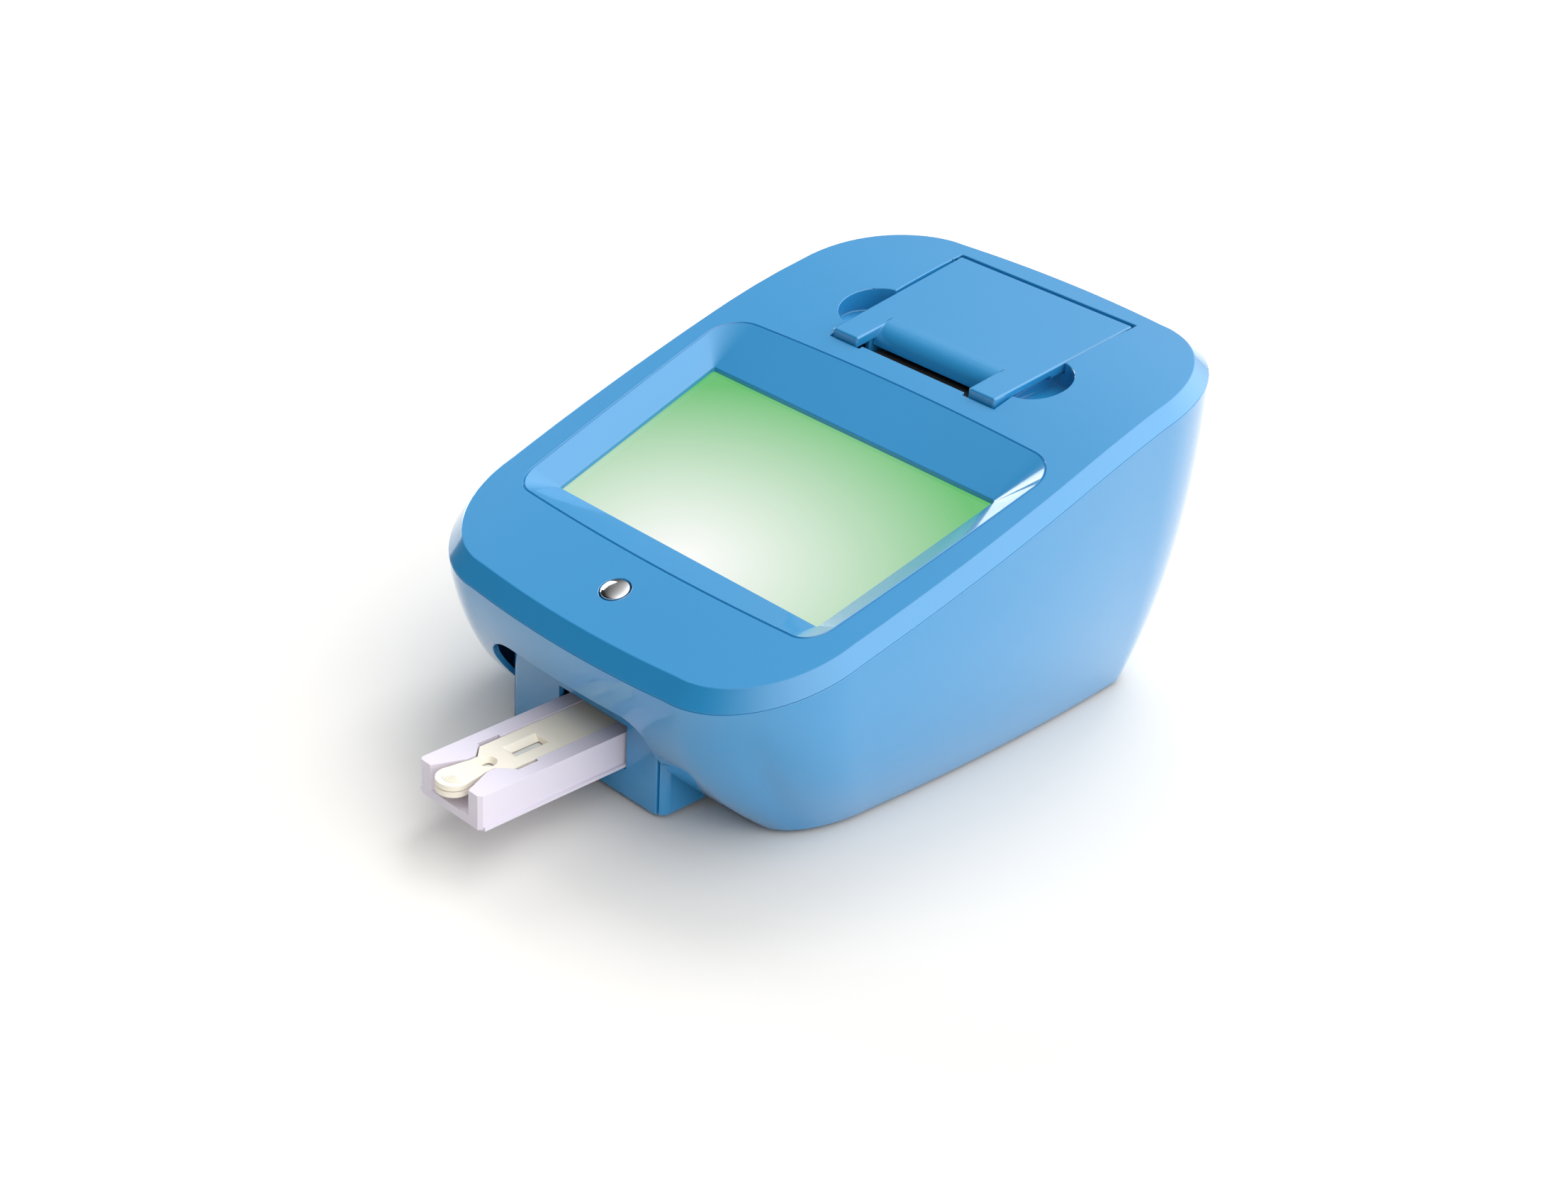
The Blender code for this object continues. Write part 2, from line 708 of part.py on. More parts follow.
def board_ends():
    """World Y of the board's front and back, between the rails and the foot of the rear wall."""
    return along(RAIL_FROM_FRONT + RAIL_LENGTH + BOARD_FROM_RAILS), BASE[1] - BOARD_BACK_INSET


def board_posts():
    x = BOARD_HALF - BOARD_POST_INSET
    front, back = board_ends()
    ends = (front + BOARD_POST_INSET, back - BOARD_POST_INSET)
    return [(side * x, y) for y in ends for side in (-1, 1)]


# Top cover: crowned face and chamfer, screen well, printer bay, finger scoops, button hole
COVER_WALL = 2.5 * MM
DOOR_LENGTH = 76.7 * MM
DOOR_FROM_BACK = 20.0 * MM
DOOR_FROM_FRONT = BODY_LENGTH - DOOR_FROM_BACK - DOOR_LENGTH
WELL_FRONT_FROM_FRONT = 43.0 * MM
WELL_FROM_DOOR = 10.2 * MM
WELL_BACK_FROM_FRONT = DOOR_FROM_FRONT - WELL_FROM_DOOR
WELL_FRONT_HALF = 80.2 * MM
WELL_BACK_HALF = 86.6 * MM
WELL_FRONT_CORNER = (10.0 * MM, 12.0 * MM)
WELL_BACK_CORNER = (14.0 * MM, 14.0 * MM)
WELL_BOWS = (2.0 * MM, 2.0 * MM, 0.5 * MM)
WINDOW_INSETS = (15.9 * MM, 23.1 * MM)
WINDOW_FRONT_FROM_FRONT = WELL_FRONT_FROM_FRONT + WINDOW_INSETS[0]
WINDOW_BACK_FROM_FRONT = WELL_BACK_FROM_FRONT - WINDOW_INSETS[1]
WINDOW_FRONT_HALF = 69.5 * MM
WINDOW_BACK_HALF = 74.8 * MM
WINDOW_CORNER = (0.8 * MM, 0.8 * MM)
WINDOW_BOWS = (0.0, 0.0, 0.0)
WELL_DEPTH = 6.5 * MM
WELL_WALL = 2.0 * MM
WELL_FORM_SHARE = 0.9

# Printer door, its hinge line and the bay under it
DOOR_FRONT_HALF = 42.7 * MM
DOOR_BACK_HALF = 45.2 * MM
DOOR_THICKNESS = 4.5 * MM
DOOR_FRONT_PROUD = 3.0 * MM
DOOR_GAP = 0.8 * MM
DOOR_BACK_GAP = 1.4 * MM
HINGE_FROM_DOOR_BACK = 2.0 * MM
LEG_INNER_HALF = 29.3 * MM
LEG_LENGTH = 20.3 * MM
BAY_OPENING_HALF = 39.5 * MM
BAY_OPENING_FROM_DOOR = 1.4 * MM
TEAR_LEDGE_HALF = 27.2 * MM
TEAR_LEDGE_REACH = 1.6 * MM
COLLAR_HALF = 50.5 * MM
COLLAR_MARGINS = (3.7 * MM, 5.6 * MM)
COLLAR_DROP = 10.6 * MM
SCOOP_HALF = 42.8 * MM
SCOOP_FROM_DOOR = 23.4 * MM
SCOOP_RADIUS = 14.3 * MM
SCOOP_INSIDE_HALF = 41.2 * MM
SCOOP_DEPTH = 8.0 * MM
SCOOP_WALL = 1.6 * MM

# Power button
BUTTON_FROM_FRONT = 25.9 * MM
BUTTON_RADIUS = 5.5 * MM
BUTTON_TRAVEL = 1.2 * MM
BUTTON_PROUD = 1.0 * MM

FACE_TILT = math.atan(FACE_SLOPE)
FACE_NORMAL = Vector((0, -math.sin(FACE_TILT), math.cos(FACE_TILT)))


def well_outline():
    return whole(
        half_outline(
            along(WELL_FRONT_FROM_FRONT),
            along(WELL_BACK_FROM_FRONT),
            WELL_FRONT_HALF,
            WELL_BACK_HALF,
            WELL_FRONT_CORNER,
            WELL_BACK_CORNER,
            WELL_BOWS,
        )
    )


def window_size():
    return (
        along(WINDOW_FRONT_FROM_FRONT),
        along(WINDOW_BACK_FROM_FRONT),
        WINDOW_FRONT_HALF,
        WINDOW_BACK_HALF,
        WINDOW_CORNER,
        WINDOW_CORNER,
        WINDOW_BOWS,
    )


def on_face(outline, drop):
    """An XY outline laid on the flat top plane, lowered by a drop."""
    return [(x, y, face_plane(y) - drop) for x, y in outline]


def spread(inner, outer, share):
    """The outline that runs on from inner through outer by a share of their distance."""
    return [(ix + (ox - ix) * share, iy + (oy - iy) * share) for (ix, iy), (ox, oy) in zip(inner, outer)]


def well_cutter():
    window, well = whole(half_outline(*window_size())), well_outline()
    above = 1 + COVER_WALL / WELL_DEPTH
    rings = [
        on_face(window, WELL_DEPTH + OVERRUN),
        on_face(window, WELL_DEPTH),
        on_face(spread(window, well, above), -COVER_WALL),
    ]
    return loft("well_cutter", rings)


def well_form():
    """The outside of the funnel, from inside the face down to the glass."""
    window = whole(half_outline(*grown(window_size(), (WELL_WALL * 2,) * 3)))
    wider = spread(window, well_outline(), WELL_FORM_SHARE)
    drop = COVER_WALL / 2
    return loft("well_form", [on_face(window, WELL_DEPTH + WELL_WALL), on_face(wider, drop)])


def door_plane(y):
    """Height of the printer door's top."""
    front, back = along(DOOR_FROM_FRONT), along(DOOR_FROM_FRONT + DOOR_LENGTH)
    low, high = top_height(front) + DOOR_FRONT_PROUD, top_height(back)
    return low + (high - low) * (y - front) / (back - front)


def door_outline(gap=0.0, back_gap=0.0, notch=True):
    front, back = along(DOOR_FROM_FRONT) - gap, along(DOOR_FROM_FRONT + DOOR_LENGTH) + back_gap
    outline = [(DOOR_FRONT_HALF + gap, front), (DOOR_BACK_HALF + gap, back)]
    outline += [(-x, y) for x, y in outline[::-1]]
    if notch:
        notch_back = front + LEG_LENGTH
        outline += [(-LEG_INNER_HALF, front), (-LEG_INNER_HALF, notch_back)]
        outline += [(LEG_INNER_HALF, notch_back), (LEG_INNER_HALF, front)]
    return outline


def hinge_line():
    """(Y, Z) of the printer door's hinge."""
    y = along(DOOR_FROM_FRONT + DOOR_LENGTH - HINGE_FROM_DOOR_BACK)
    return y, door_plane(y) - DOOR_THICKNESS / 2


def scoop_outline(side, grow):
    """A half disc beside the door, square on its inner side."""
    radius, inside = SCOOP_RADIUS + grow, SCOOP_INSIDE_HALF - grow
    reach = math.degrees(math.acos((inside - SCOOP_HALF) / radius))
    points = arc((SCOOP_HALF, along(DOOR_FROM_FRONT + SCOOP_FROM_DOOR)), radius, -reach, reach, 14)
    return [(side * x, y) for x, y in points]


def collar_low():
    """Height of the collar's underside, that the mechanism and the bucket hang from."""
    return top_height(along(DOOR_FROM_FRONT)) - COLLAR_DROP


def collar_form():
    """The block under the top face that the printer bay is cut into."""
    bm = bmesh.new()
    front = along(DOOR_FROM_FRONT) - COLLAR_MARGINS[0]
    back = along(DOOR_FROM_FRONT + DOOR_LENGTH) + COLLAR_MARGINS[1]
    count = 8
    rows = []
    for i in range(count + 1):
        y = front + (back - front) * i / count
        top = top_height(y) - COVER_WALL / 2
        right = [(COLLAR_HALF, collar_low()), (COLLAR_HALF, top)]
        corners = right + [(-x, z) for x, z in right[::-1]]
        rows.append([bm.verts.new((x, y, z)) for x, z in corners])
    for first, second in zip(rows, rows[1:]):
        skin(bm, first, second)
    bm.faces.new(rows[0][::-1])
    bm.faces.new(rows[-1])
    return from_bmesh("collar_form", bm)


def button_place():
    y = along(BUTTON_FROM_FRONT)
    return Vector((0, y, face_plane(y)))


def make_top_cover():
    bm = bmesh.new()
    face = whole(half_outline(*FACE))
    crease = whole(half_outline(*CREASE))
    low_crease = whole(half_outline(*inset(CREASE, WALL)))
    low_face = whole(half_outline(*inset(FACE, WALL)))
    rows = [
        [bm.verts.new((x, y, top_height(y))) for x, y in face],
        [bm.verts.new((x, y, crease_height(y))) for x, y in crease],
        [bm.verts.new((x, y, crease_height(y))) for x, y in low_crease],
        [bm.verts.new((x, y, top_height(y) - COVER_WALL)) for x, y in low_face],
    ]
    for lower, upper in zip(rows, rows[1:]):
        skin(bm, lower, upper)
    ladder(bm, rows[0])
    ladder(bm, rows[-1])
    cover = from_bmesh("top_cover", bm, BLUE)
    join(cover, well_form(), collar_form())
    for side in (-1, 1):
        cup = scoop_outline(side, SCOOP_WALL)
        low = door_plane(along(DOOR_FROM_FRONT + SCOOP_FROM_DOOR)) - SCOOP_DEPTH
        cup_top = COVER_WALL / 2
        join(cover, prism("scoop_cup", cup, lambda y: low - SCOOP_WALL, lambda y: top_height(y) - cup_top))
    cut(cover, well_cutter())
    for side in (-1, 1):
        low = door_plane(along(DOOR_FROM_FRONT + SCOOP_FROM_DOOR)) - SCOOP_DEPTH
        scoop = scoop_outline(side, 0.0)
        cut(cover, prism("scoop_cutter", scoop, lambda y: low, lambda y: top_height(y) + OVERRUN))
    rebate = door_outline(DOOR_GAP, DOOR_BACK_GAP, notch=False)
    ledge_back, ledge_front = rebate[-1][1] + TEAR_LEDGE_REACH, rebate[-1][1]
    rebate += [(-TEAR_LEDGE_HALF, ledge_front), (-TEAR_LEDGE_HALF, ledge_back)]
    rebate += [(TEAR_LEDGE_HALF, ledge_back), (TEAR_LEDGE_HALF, ledge_front)]
    floor = DOOR_THICKNESS + FIT
    above = OVERRUN
    cut(cover, prism("door_rebate", rebate, lambda y: door_plane(y) - floor, lambda y: door_plane(y) + above))
    front = along(DOOR_FROM_FRONT + BAY_OPENING_FROM_DOOR)
    back = roll_place()[0] + ROLL_RADIUS + BUCKET_GAP
    x, opening_z = BAY_OPENING_HALF, (collar_low() - OVERRUN, door_plane(back) + OVERRUN)
    cut(cover, block("bay_opening", (-x, x), (front, back), opening_z))
    hinge_y, hinge_z = hinge_line()
    sweep = math.hypot(HINGE_FROM_DOOR_BACK, DOOR_THICKNESS / 2) + FIT
    ends = (-DOOR_BACK_HALF - DOOR_GAP, hinge_y, hinge_z), (DOOR_BACK_HALF + DOOR_GAP, hinge_y, hinge_z)
    cut(cover, rod("hinge_groove", *ends, sweep, sides=24))
    reach = DOOR_BACK_HALF + PIN_SEAT + FIT
    ends = (-reach, hinge_y, hinge_z), (reach, hinge_y, hinge_z)
    cut(cover, rod("hinge_hole", *ends, PIN_RADIUS + FIT, sides=16))
    for side in (-1, 1):
        foot = switch_place() + Vector((side * SWITCH_POST_HALF, 0, 0)) + FACE_NORMAL * FIT
        head = foot + FACE_NORMAL * (switch_drop() - COVER_WALL / 2)
        join(cover, rod("switch_post", foot, head, SWITCH_POST_RADIUS, sides=12))
    place = button_place()
    hole = BUTTON_RADIUS + FIT
    ends = place - FACE_NORMAL * COVER_WALL * 2, place + FACE_NORMAL * OVERRUN
    cut(cover, rod("button_hole", *ends, hole, sides=32))
    return smooth(cover, 14)


# Printer door with its paper ramp and the cheeks that carry the platen
PIN_RADIUS = 1.1 * MM
PIN_SEAT = 4.0 * MM
PIN_ENGAGEMENT = 4.0 * MM
RAMP_FRONT_FROM_DOOR = 10.3 * MM
RAMP_DROP = 8.5 * MM
RAMP_THICKNESS = 2.0 * MM
GRIP_RELIEF_FROM_DOOR = (9.6 * MM, 31.0 * MM)
GRIP_RELIEF_HALF = 40.6 * MM
GRIP_EDGE_THICKNESS = 2.8 * MM
CHEEK_HALF = 30.6 * MM
CHEEK_THICKNESS = 2.0 * MM
CHEEK_RADIUS = 4.0 * MM
PLATEN_FROM_DOOR = 12.4 * MM
PLATEN_DROP = 14.6 * MM
PLATEN_RADIUS = 4.6 * MM
PLATEN_HALF = 29.0 * MM
AXLE_RADIUS = 1.6 * MM


def platen_place():
    y = along(DOOR_FROM_FRONT + PLATEN_FROM_DOOR)
    return y, door_plane(y) - PLATEN_DROP


def ramp_outline():
    """The paper ramp in YZ: a quarter ellipse that rolls down from the door's top."""
    back = along(DOOR_FROM_FRONT + LEG_LENGTH)
    front = along(DOOR_FROM_FRONT + RAMP_FRONT_FROM_DOOR)
    low = door_plane(back) - RAMP_DROP
    outer, inner = [], []
    steps = 8
    for i in range(steps + 1):
        angle = math.pi / 2 * i / steps
        outer.append((back - (back - front) * math.sin(angle), low + RAMP_DROP * math.cos(angle)))
        inner_run, inner_rise = back - front - RAMP_THICKNESS, RAMP_DROP - RAMP_THICKNESS
        inner.append((back - inner_run * math.sin(angle), low + inner_rise * math.cos(angle)))
    tail = RAMP_THICKNESS
    return [(back + tail, door_plane(back + tail))] + outer + inner[::-1] + [(back + tail, inner[0][1])]


def cheek_outline():
    y, z = platen_place()
    rim = arc((y, z), CHEEK_RADIUS, 180, 360, 8)
    back = along(DOOR_FROM_FRONT + LEG_LENGTH + PLATEN_FROM_DOOR)
    top_front = (y - CHEEK_RADIUS, door_plane(y) - DOOR_THICKNESS / 2)
    under = door_plane(back) - DOOR_THICKNESS
    return rim + [(back, under), (back, under + DOOR_THICKNESS / 2), top_front]


def make_printer_door():
    low = DOOR_THICKNESS
    door = prism("printer_door", door_outline(), lambda y: door_plane(y) - low, door_plane, BLUE)
    overlap = DOOR_GAP
    half = LEG_INNER_HALF + overlap
    join(door, side_prism("paper_ramp", ramp_outline(), (-half, half)))
    y, z = platen_place()
    for side in (-1, 1):
        x = sorted((side * CHEEK_HALF, side * (CHEEK_HALF + CHEEK_THICKNESS)))
        join(door, side_prism("platen_cheek", cheek_outline(), x))
    relief_y = tuple(along(DOOR_FROM_FRONT + d) for d in GRIP_RELIEF_FROM_DOOR)
    for side in (-1, 1):
        x = sorted((side * GRIP_RELIEF_HALF, side * (DOOR_BACK_HALF + WALL)))
        under = [(x[0], relief_y[0]), (x[1], relief_y[0]), (x[1], relief_y[1]), (x[0], relief_y[1])]
        edge = GRIP_EDGE_THICKNESS
        below = low + WALL
        levels = lambda v: door_plane(v) - below, lambda v: door_plane(v) - edge
        cut(door, prism("grip_relief", under, *levels))
    reach = CHEEK_HALF + CHEEK_THICKNESS + WALL
    cut(door, rod("axle_hole", (-reach, y, z), (reach, y, z), AXLE_RADIUS + FIT, sides=16))
    hinge_y, hinge_z = hinge_line()
    for side in (-1, 1):
        inner, outer = side * (DOOR_BACK_HALF - PIN_ENGAGEMENT - FIT), side * (DOOR_BACK_HALF + WALL)
        ends = (inner, hinge_y, hinge_z), (outer, hinge_y, hinge_z)
        cut(door, rod("pin_bore", *ends, PIN_RADIUS + FIT, sides=16))
    return pivot(smooth(door, 30), (0, hinge_y, hinge_z))


def make_hinge_pins():
    y, z = hinge_line()
    for name, side in (("door_hinge_pin_left", -1), ("door_hinge_pin_right", 1)):
        inner, outer = side * (DOOR_BACK_HALF - PIN_ENGAGEMENT), side * (DOOR_BACK_HALF + PIN_SEAT)
        rod(name, (inner, y, z), (outer, y, z), PIN_RADIUS, STEEL, sides=12)


# Platen roller, its gear, and the print mechanism below it
GEAR_MODULE = 0.8 * MM
PLATEN_TEETH = 12
DRIVE_TEETH = 24
GEAR_WIDTH = 3.0 * MM
GEAR_FROM_MIDDLE = 34.2 * MM
MESH_PLAY = 0.25 * MM
ADDENDUM_SHARE = 0.9
DEDENDUM_SHARE = 1.15
TOOTH_TIP_SHARE = 0.12
TOOTH_ROOT_SHARE = 0.30
DRIVE_BACK = 5.6 * MM
MECHANISM_HALF = 33.6 * MM
MECHANISM_FROM_DOOR = 1.7 * MM
MECHANISM_LENGTH = 23.7 * MM
MECHANISM_HEIGHT = 13.7 * MM
TEAR_BAR_THICKNESS = 1.2 * MM
TEAR_BAR_HEIGHT = 6.0 * MM
EAR_REACH = 11.0 * MM
EAR_LENGTH = 5.0 * MM
EAR_THICKNESS = 2.0 * MM


def tooth_flanks(root, tip):
    """The four corners of one tooth, as its height and its place in shares of a tooth step."""
    low, high = TOOTH_ROOT_SHARE, TOOTH_TIP_SHARE
    return (root, -low), (tip, -high), (tip, high), (root, low)


def gear_outline(teeth, phase):
    """A spur gear's outline: trapezoid teeth a little narrower than half the pitch."""
    pitch = teeth * GEAR_MODULE / 2
    outer, root = pitch + GEAR_MODULE * ADDENDUM_SHARE, pitch - GEAR_MODULE * DEDENDUM_SHARE
    step = 2 * math.pi / teeth
    flank = tooth_flanks(root, outer)
    points = []
    for i in range(teeth):
        for radius, share in flank:
            angle = phase + (i + share) * step
            points.append((radius * math.cos(angle), radius * math.sin(angle)))
    return points


def make_platen():
    y, z = platen_place()
    end = CHEEK_HALF + CHEEK_THICKNESS + FIT
    platen = rod("platen_roller", (-PLATEN_HALF, y, z), (PLATEN_HALF, y, z), PLATEN_RADIUS, RUBBER, sides=24)
    gear_end = GEAR_FROM_MIDDLE + GEAR_WIDTH
    join(platen, rod("platen_axle", (-end, y, z), (gear_end, y, z), AXLE_RADIUS, sides=14))
    outline = [(y + gy, z + gz) for gy, gz in gear_outline(PLATEN_TEETH, math.pi / 2)]
    join(platen, side_prism("platen_gear", outline, (GEAR_FROM_MIDDLE, gear_end)))
    return pivot(platen, (0, y, z))


def drive_place():
    y, z = platen_place()
    distance = (PLATEN_TEETH + DRIVE_TEETH) * GEAR_MODULE / 2 + MESH_PLAY
    return y + DRIVE_BACK, z - math.sqrt(distance**2 - DRIVE_BACK**2)


def make_drive_gear():
    """Printer drive gear, with a tooth gap turned to each tooth of the platen gear."""
    py, pz = platen_place()
    y, z = drive_place()
    line = math.atan2(pz - z, py - y)
    offset = (line + math.pi / 2) * PLATEN_TEETH / (2 * math.pi)
    phase = line + (1 / 2 + offset - round(offset)) * 2 * math.pi / DRIVE_TEETH
    outline = [(y + gy, z + gz) for gy, gz in gear_outline(DRIVE_TEETH, phase)]
    x = (GEAR_FROM_MIDDLE, GEAR_FROM_MIDDLE + GEAR_WIDTH)
    gear = side_prism("printer_drive_gear", outline, x, NYLON)
    bore = (x[0] - WALL, x[1] + WALL)
    cut(gear, rod("gear_bore", (bore[0], y, z), (bore[1], y, z), AXLE_RADIUS + FIT, sides=14))
    return pivot(gear, (x[0], y, z))


def mechanism_ends():
    """World Y of the mechanism's front and back, just inside the door's front edge."""
    front = along(DOOR_FROM_FRONT + MECHANISM_FROM_DOOR)
    return front, front + MECHANISM_LENGTH


def make_print_mechanism():
    """Print head block with the tear bar, hung by its ears under the printer bay."""
    x = MECHANISM_HALF
    front, back = mechanism_ends()
    platen_y, platen_z = platen_place()
    top = platen_z - PLATEN_RADIUS - FIT
    body = block("print_mechanism", (-x, x), (front, back), (top - MECHANISM_HEIGHT, top), BLACK)
    bar = (front, front + TEAR_BAR_THICKNESS)
    join(body, block("tear_bar", (-PLATEN_HALF, PLATEN_HALF), bar, (top - WALL, top + TEAR_BAR_HEIGHT)))
    ear_top = collar_low() - FIT
    ear_x, ear_y = (-x - EAR_REACH, x + EAR_REACH), (front, front + EAR_LENGTH)
    join(body, block("ears", ear_x, ear_y, (ear_top - EAR_THICKNESS, ear_top)))
    y, z = drive_place()
    gear_end = GEAR_FROM_MIDDLE + GEAR_WIDTH
    join(body, rod("gear_stub", (x - WALL, y, z), (gear_end, y, z), AXLE_RADIUS, sides=14))
    return body


# Paper bucket and the paper roll lying in it
ROLL_RADIUS = 19.0 * MM
ROLL_CORE = 6.2 * MM
ROLL_HALF = 28.5 * MM
ROLL_CLEARANCE = 3.2 * MM
BUCKET_HALF = 29.6 * MM
BUCKET_WALL = 1.8 * MM
BUCKET_GAP = 0.6 * MM
BUCKET_FROM_MECHANISM = 0.6 * MM
FLANGE_HALF = 44.0 * MM
FLANGE_THICKNESS = 2.0 * MM
FLANGE_BACK = 6.0 * MM


def roll_place():
    """(Y, Z) of the paper roll: behind the mechanism, and clear below the door."""
    y = mechanism_ends()[1] + BUCKET_FROM_MECHANISM + BUCKET_WALL + BUCKET_GAP + ROLL_RADIUS
    return y, door_plane(y) - DOOR_THICKNESS - ROLL_CLEARANCE - ROLL_RADIUS


def make_paper_bucket():
    (y, z), radius = roll_place(), ROLL_RADIUS + BUCKET_GAP
    x = BUCKET_HALF + BUCKET_WALL
    top = collar_low() - FIT
    trough = arc((y, z), radius + BUCKET_WALL, 180, 360, 14)
    walls = [(y + radius + BUCKET_WALL, top), (y - radius - BUCKET_WALL, top)]
    bucket = side_prism("paper_bucket", trough + walls, (-x, x), BLACK)
    flange_y = (y - radius - BUCKET_WALL, y + radius + BUCKET_WALL + FLANGE_BACK)
    join(bucket, block("bucket_flange", (-FLANGE_HALF, FLANGE_HALF), flange_y, (top - FLANGE_THICKNESS, top)))
    inside = arc((y, z), radius, 180, 360, 14)
    inside += [(y + radius, top + OVERRUN), (y - radius, top + OVERRUN)]
    return cut(bucket, side_prism("bucket_inside", inside, (-BUCKET_HALF, BUCKET_HALF)))


def make_paper_roll():
    y, z = roll_place()
    roll = rod("paper_roll", (-ROLL_HALF, y, z), (ROLL_HALF, y, z), ROLL_RADIUS, PAPER, sides=36)
    reach = ROLL_HALF + OVERRUN
    cut(roll, rod("core_hole", (-reach, y, z), (reach, y, z), ROLL_CORE, sides=20))
    return pivot(roll, (0, y, z))


# Touch glass and display module under the screen well
GLASS_MARGIN = 3.5 * MM
GLASS_THICKNESS = 1.6 * MM
DISPLAY_MARGIN = 6.0 * MM
DISPLAY_THICKNESS = 5.5 * MM


def tilted_plate(name, margin, drop, thickness, material):
    """A plate parallel to the top face, a margin wider than the screen window."""
    half = WINDOW_BACK_HALF + margin
    y = (along(WINDOW_FRONT_FROM_FRONT) - margin, along(WINDOW_BACK_FROM_FRONT) + margin)
    outline = rounded_box((-half, half), y, margin / 2, 3)
    low = drop + thickness
    levels = lambda v: face_plane(v) - low, lambda v: face_plane(v) - drop
    return prism(name, outline, *levels, material)


def glass_drop():
    return WELL_DEPTH + WELL_WALL + FIT


def display_drop():
    return glass_drop() + GLASS_THICKNESS + FIT


def make_screen():
    tilted_plate("touch_glass", GLASS_MARGIN, glass_drop(), GLASS_THICKNESS, GLASS)
    tilted_plate("display_module", DISPLAY_MARGIN, display_drop(), DISPLAY_THICKNESS, STEEL)


# Power button, its return spring seat and its switch board
BUTTON_STEM = 2.6 * MM
BUTTON_HEIGHT = 6.0 * MM
BUTTON_FLANGE = 1.2 * MM
BUTTON_FLANGE_THICKNESS = 1.0 * MM
SWITCH_BOARD = (12.0 * MM, 7.0 * MM, 1.6 * MM)
SWITCH_BODY = 3.0 * MM
SWITCH_HEIGHT = 2.0 * MM
SWITCH_POST_HALF = 9.6 * MM
SWITCH_POST_RADIUS = 1.6 * MM


def make_power_button():
    """A domed cap on a stem, with a flange that stops it under the cover."""
    rim = BUTTON_RADIUS
    flange_top = -COVER_WALL - FIT
    dome = []
    steps = 6
    for i in range(steps + 1):
        angle = math.pi / 2 * i / steps
        dome.append((rim * math.sin(angle), BUTTON_PROUD * math.cos(angle)))
    profile = dome + [
        (rim, flange_top),
        (rim + BUTTON_FLANGE, flange_top),
        (rim + BUTTON_FLANGE, flange_top - BUTTON_FLANGE_THICKNESS),
        (BUTTON_STEM, flange_top - BUTTON_FLANGE_THICKNESS),
        (BUTTON_STEM, -BUTTON_HEIGHT),
        (0.0, -BUTTON_HEIGHT),
    ]
    return turned("power_button", profile, button_place(), FACE_NORMAL, CHROME)


def switch_drop():
    """Depth of the switch board's top below the face, along the face's normal."""
    return BUTTON_HEIGHT + BUTTON_TRAVEL + FIT + SWITCH_HEIGHT


def switch_place():
    return button_place() - FACE_NORMAL * switch_drop()


def make_switch_board():
    """Small board under the button, with the switch that its stem presses."""
    half_x, half_y, thickness = SWITCH_BOARD
    place = switch_place()
    bm = bmesh.new()
    bmesh.ops.create_cube(bm, size=1.0)
    turn = Matrix.Rotation(FACE_TILT, 4, "X")
    size = Matrix.Diagonal((2 * half_x, 2 * half_y, thickness, 1.0))
    centre = Matrix.Translation(place - FACE_NORMAL * thickness / 2)
    bmesh.ops.transform(bm, matrix=centre @ turn @ size, verts=bm.verts)
    board = from_bmesh("switch_board", bm, BOARD)
    ends = place - FACE_NORMAL * thickness / 2, place + FACE_NORMAL * SWITCH_HEIGHT
    return join(board, rod("tact_switch", *ends, SWITCH_BODY, sides=16))


# Cassette tray with its flared mouth, cassette pocket, ledges and the rack under it
MOUTH_FRONT_HALF = 10.6 * MM
THROAT_HALF = 5.5 * MM
MOUTH_LENGTH = 12.5 * MM
THROAT_LENGTH = 3.8 * MM
SHOULDER_LENGTH = 4.6 * MM
RELIEF_DEPTH = 1.4 * MM
RELIEF_FROM_SHOULDER = 0.6 * MM
RELIEF_LENGTH = 9.6 * MM
MOUTH_FLOOR = 3.5 * MM
POCKET_HALF = 9.9 * MM
POCKET_LENGTH = 64.0 * MM
POCKET_FLOOR = 8.6 * MM
ARM_CHAMFER = 1.4 * MM
RACK_BAY_FROM_FRONT = 30.0 * MM
RACK_BAY = (-2.4 * MM, 13.0 * MM)
RACK_BAY_HEIGHT = 5.0 * MM
PINION_X = 4.0 * MM
PINION_TEETH = 12
PINION_FROM_FRONT = 58.0 * MM
PINION_WIDTH = 3.2 * MM
PINION_SHAFT = 1.5 * MM
PINION_SHAFT_DEPTH = 5.0 * MM
RACK_BACK = 2.9 * MM


def tray_front():
    return along(-TRAY_REACH)


def tray_base():
    return BASE_Z + TRAY_LOW


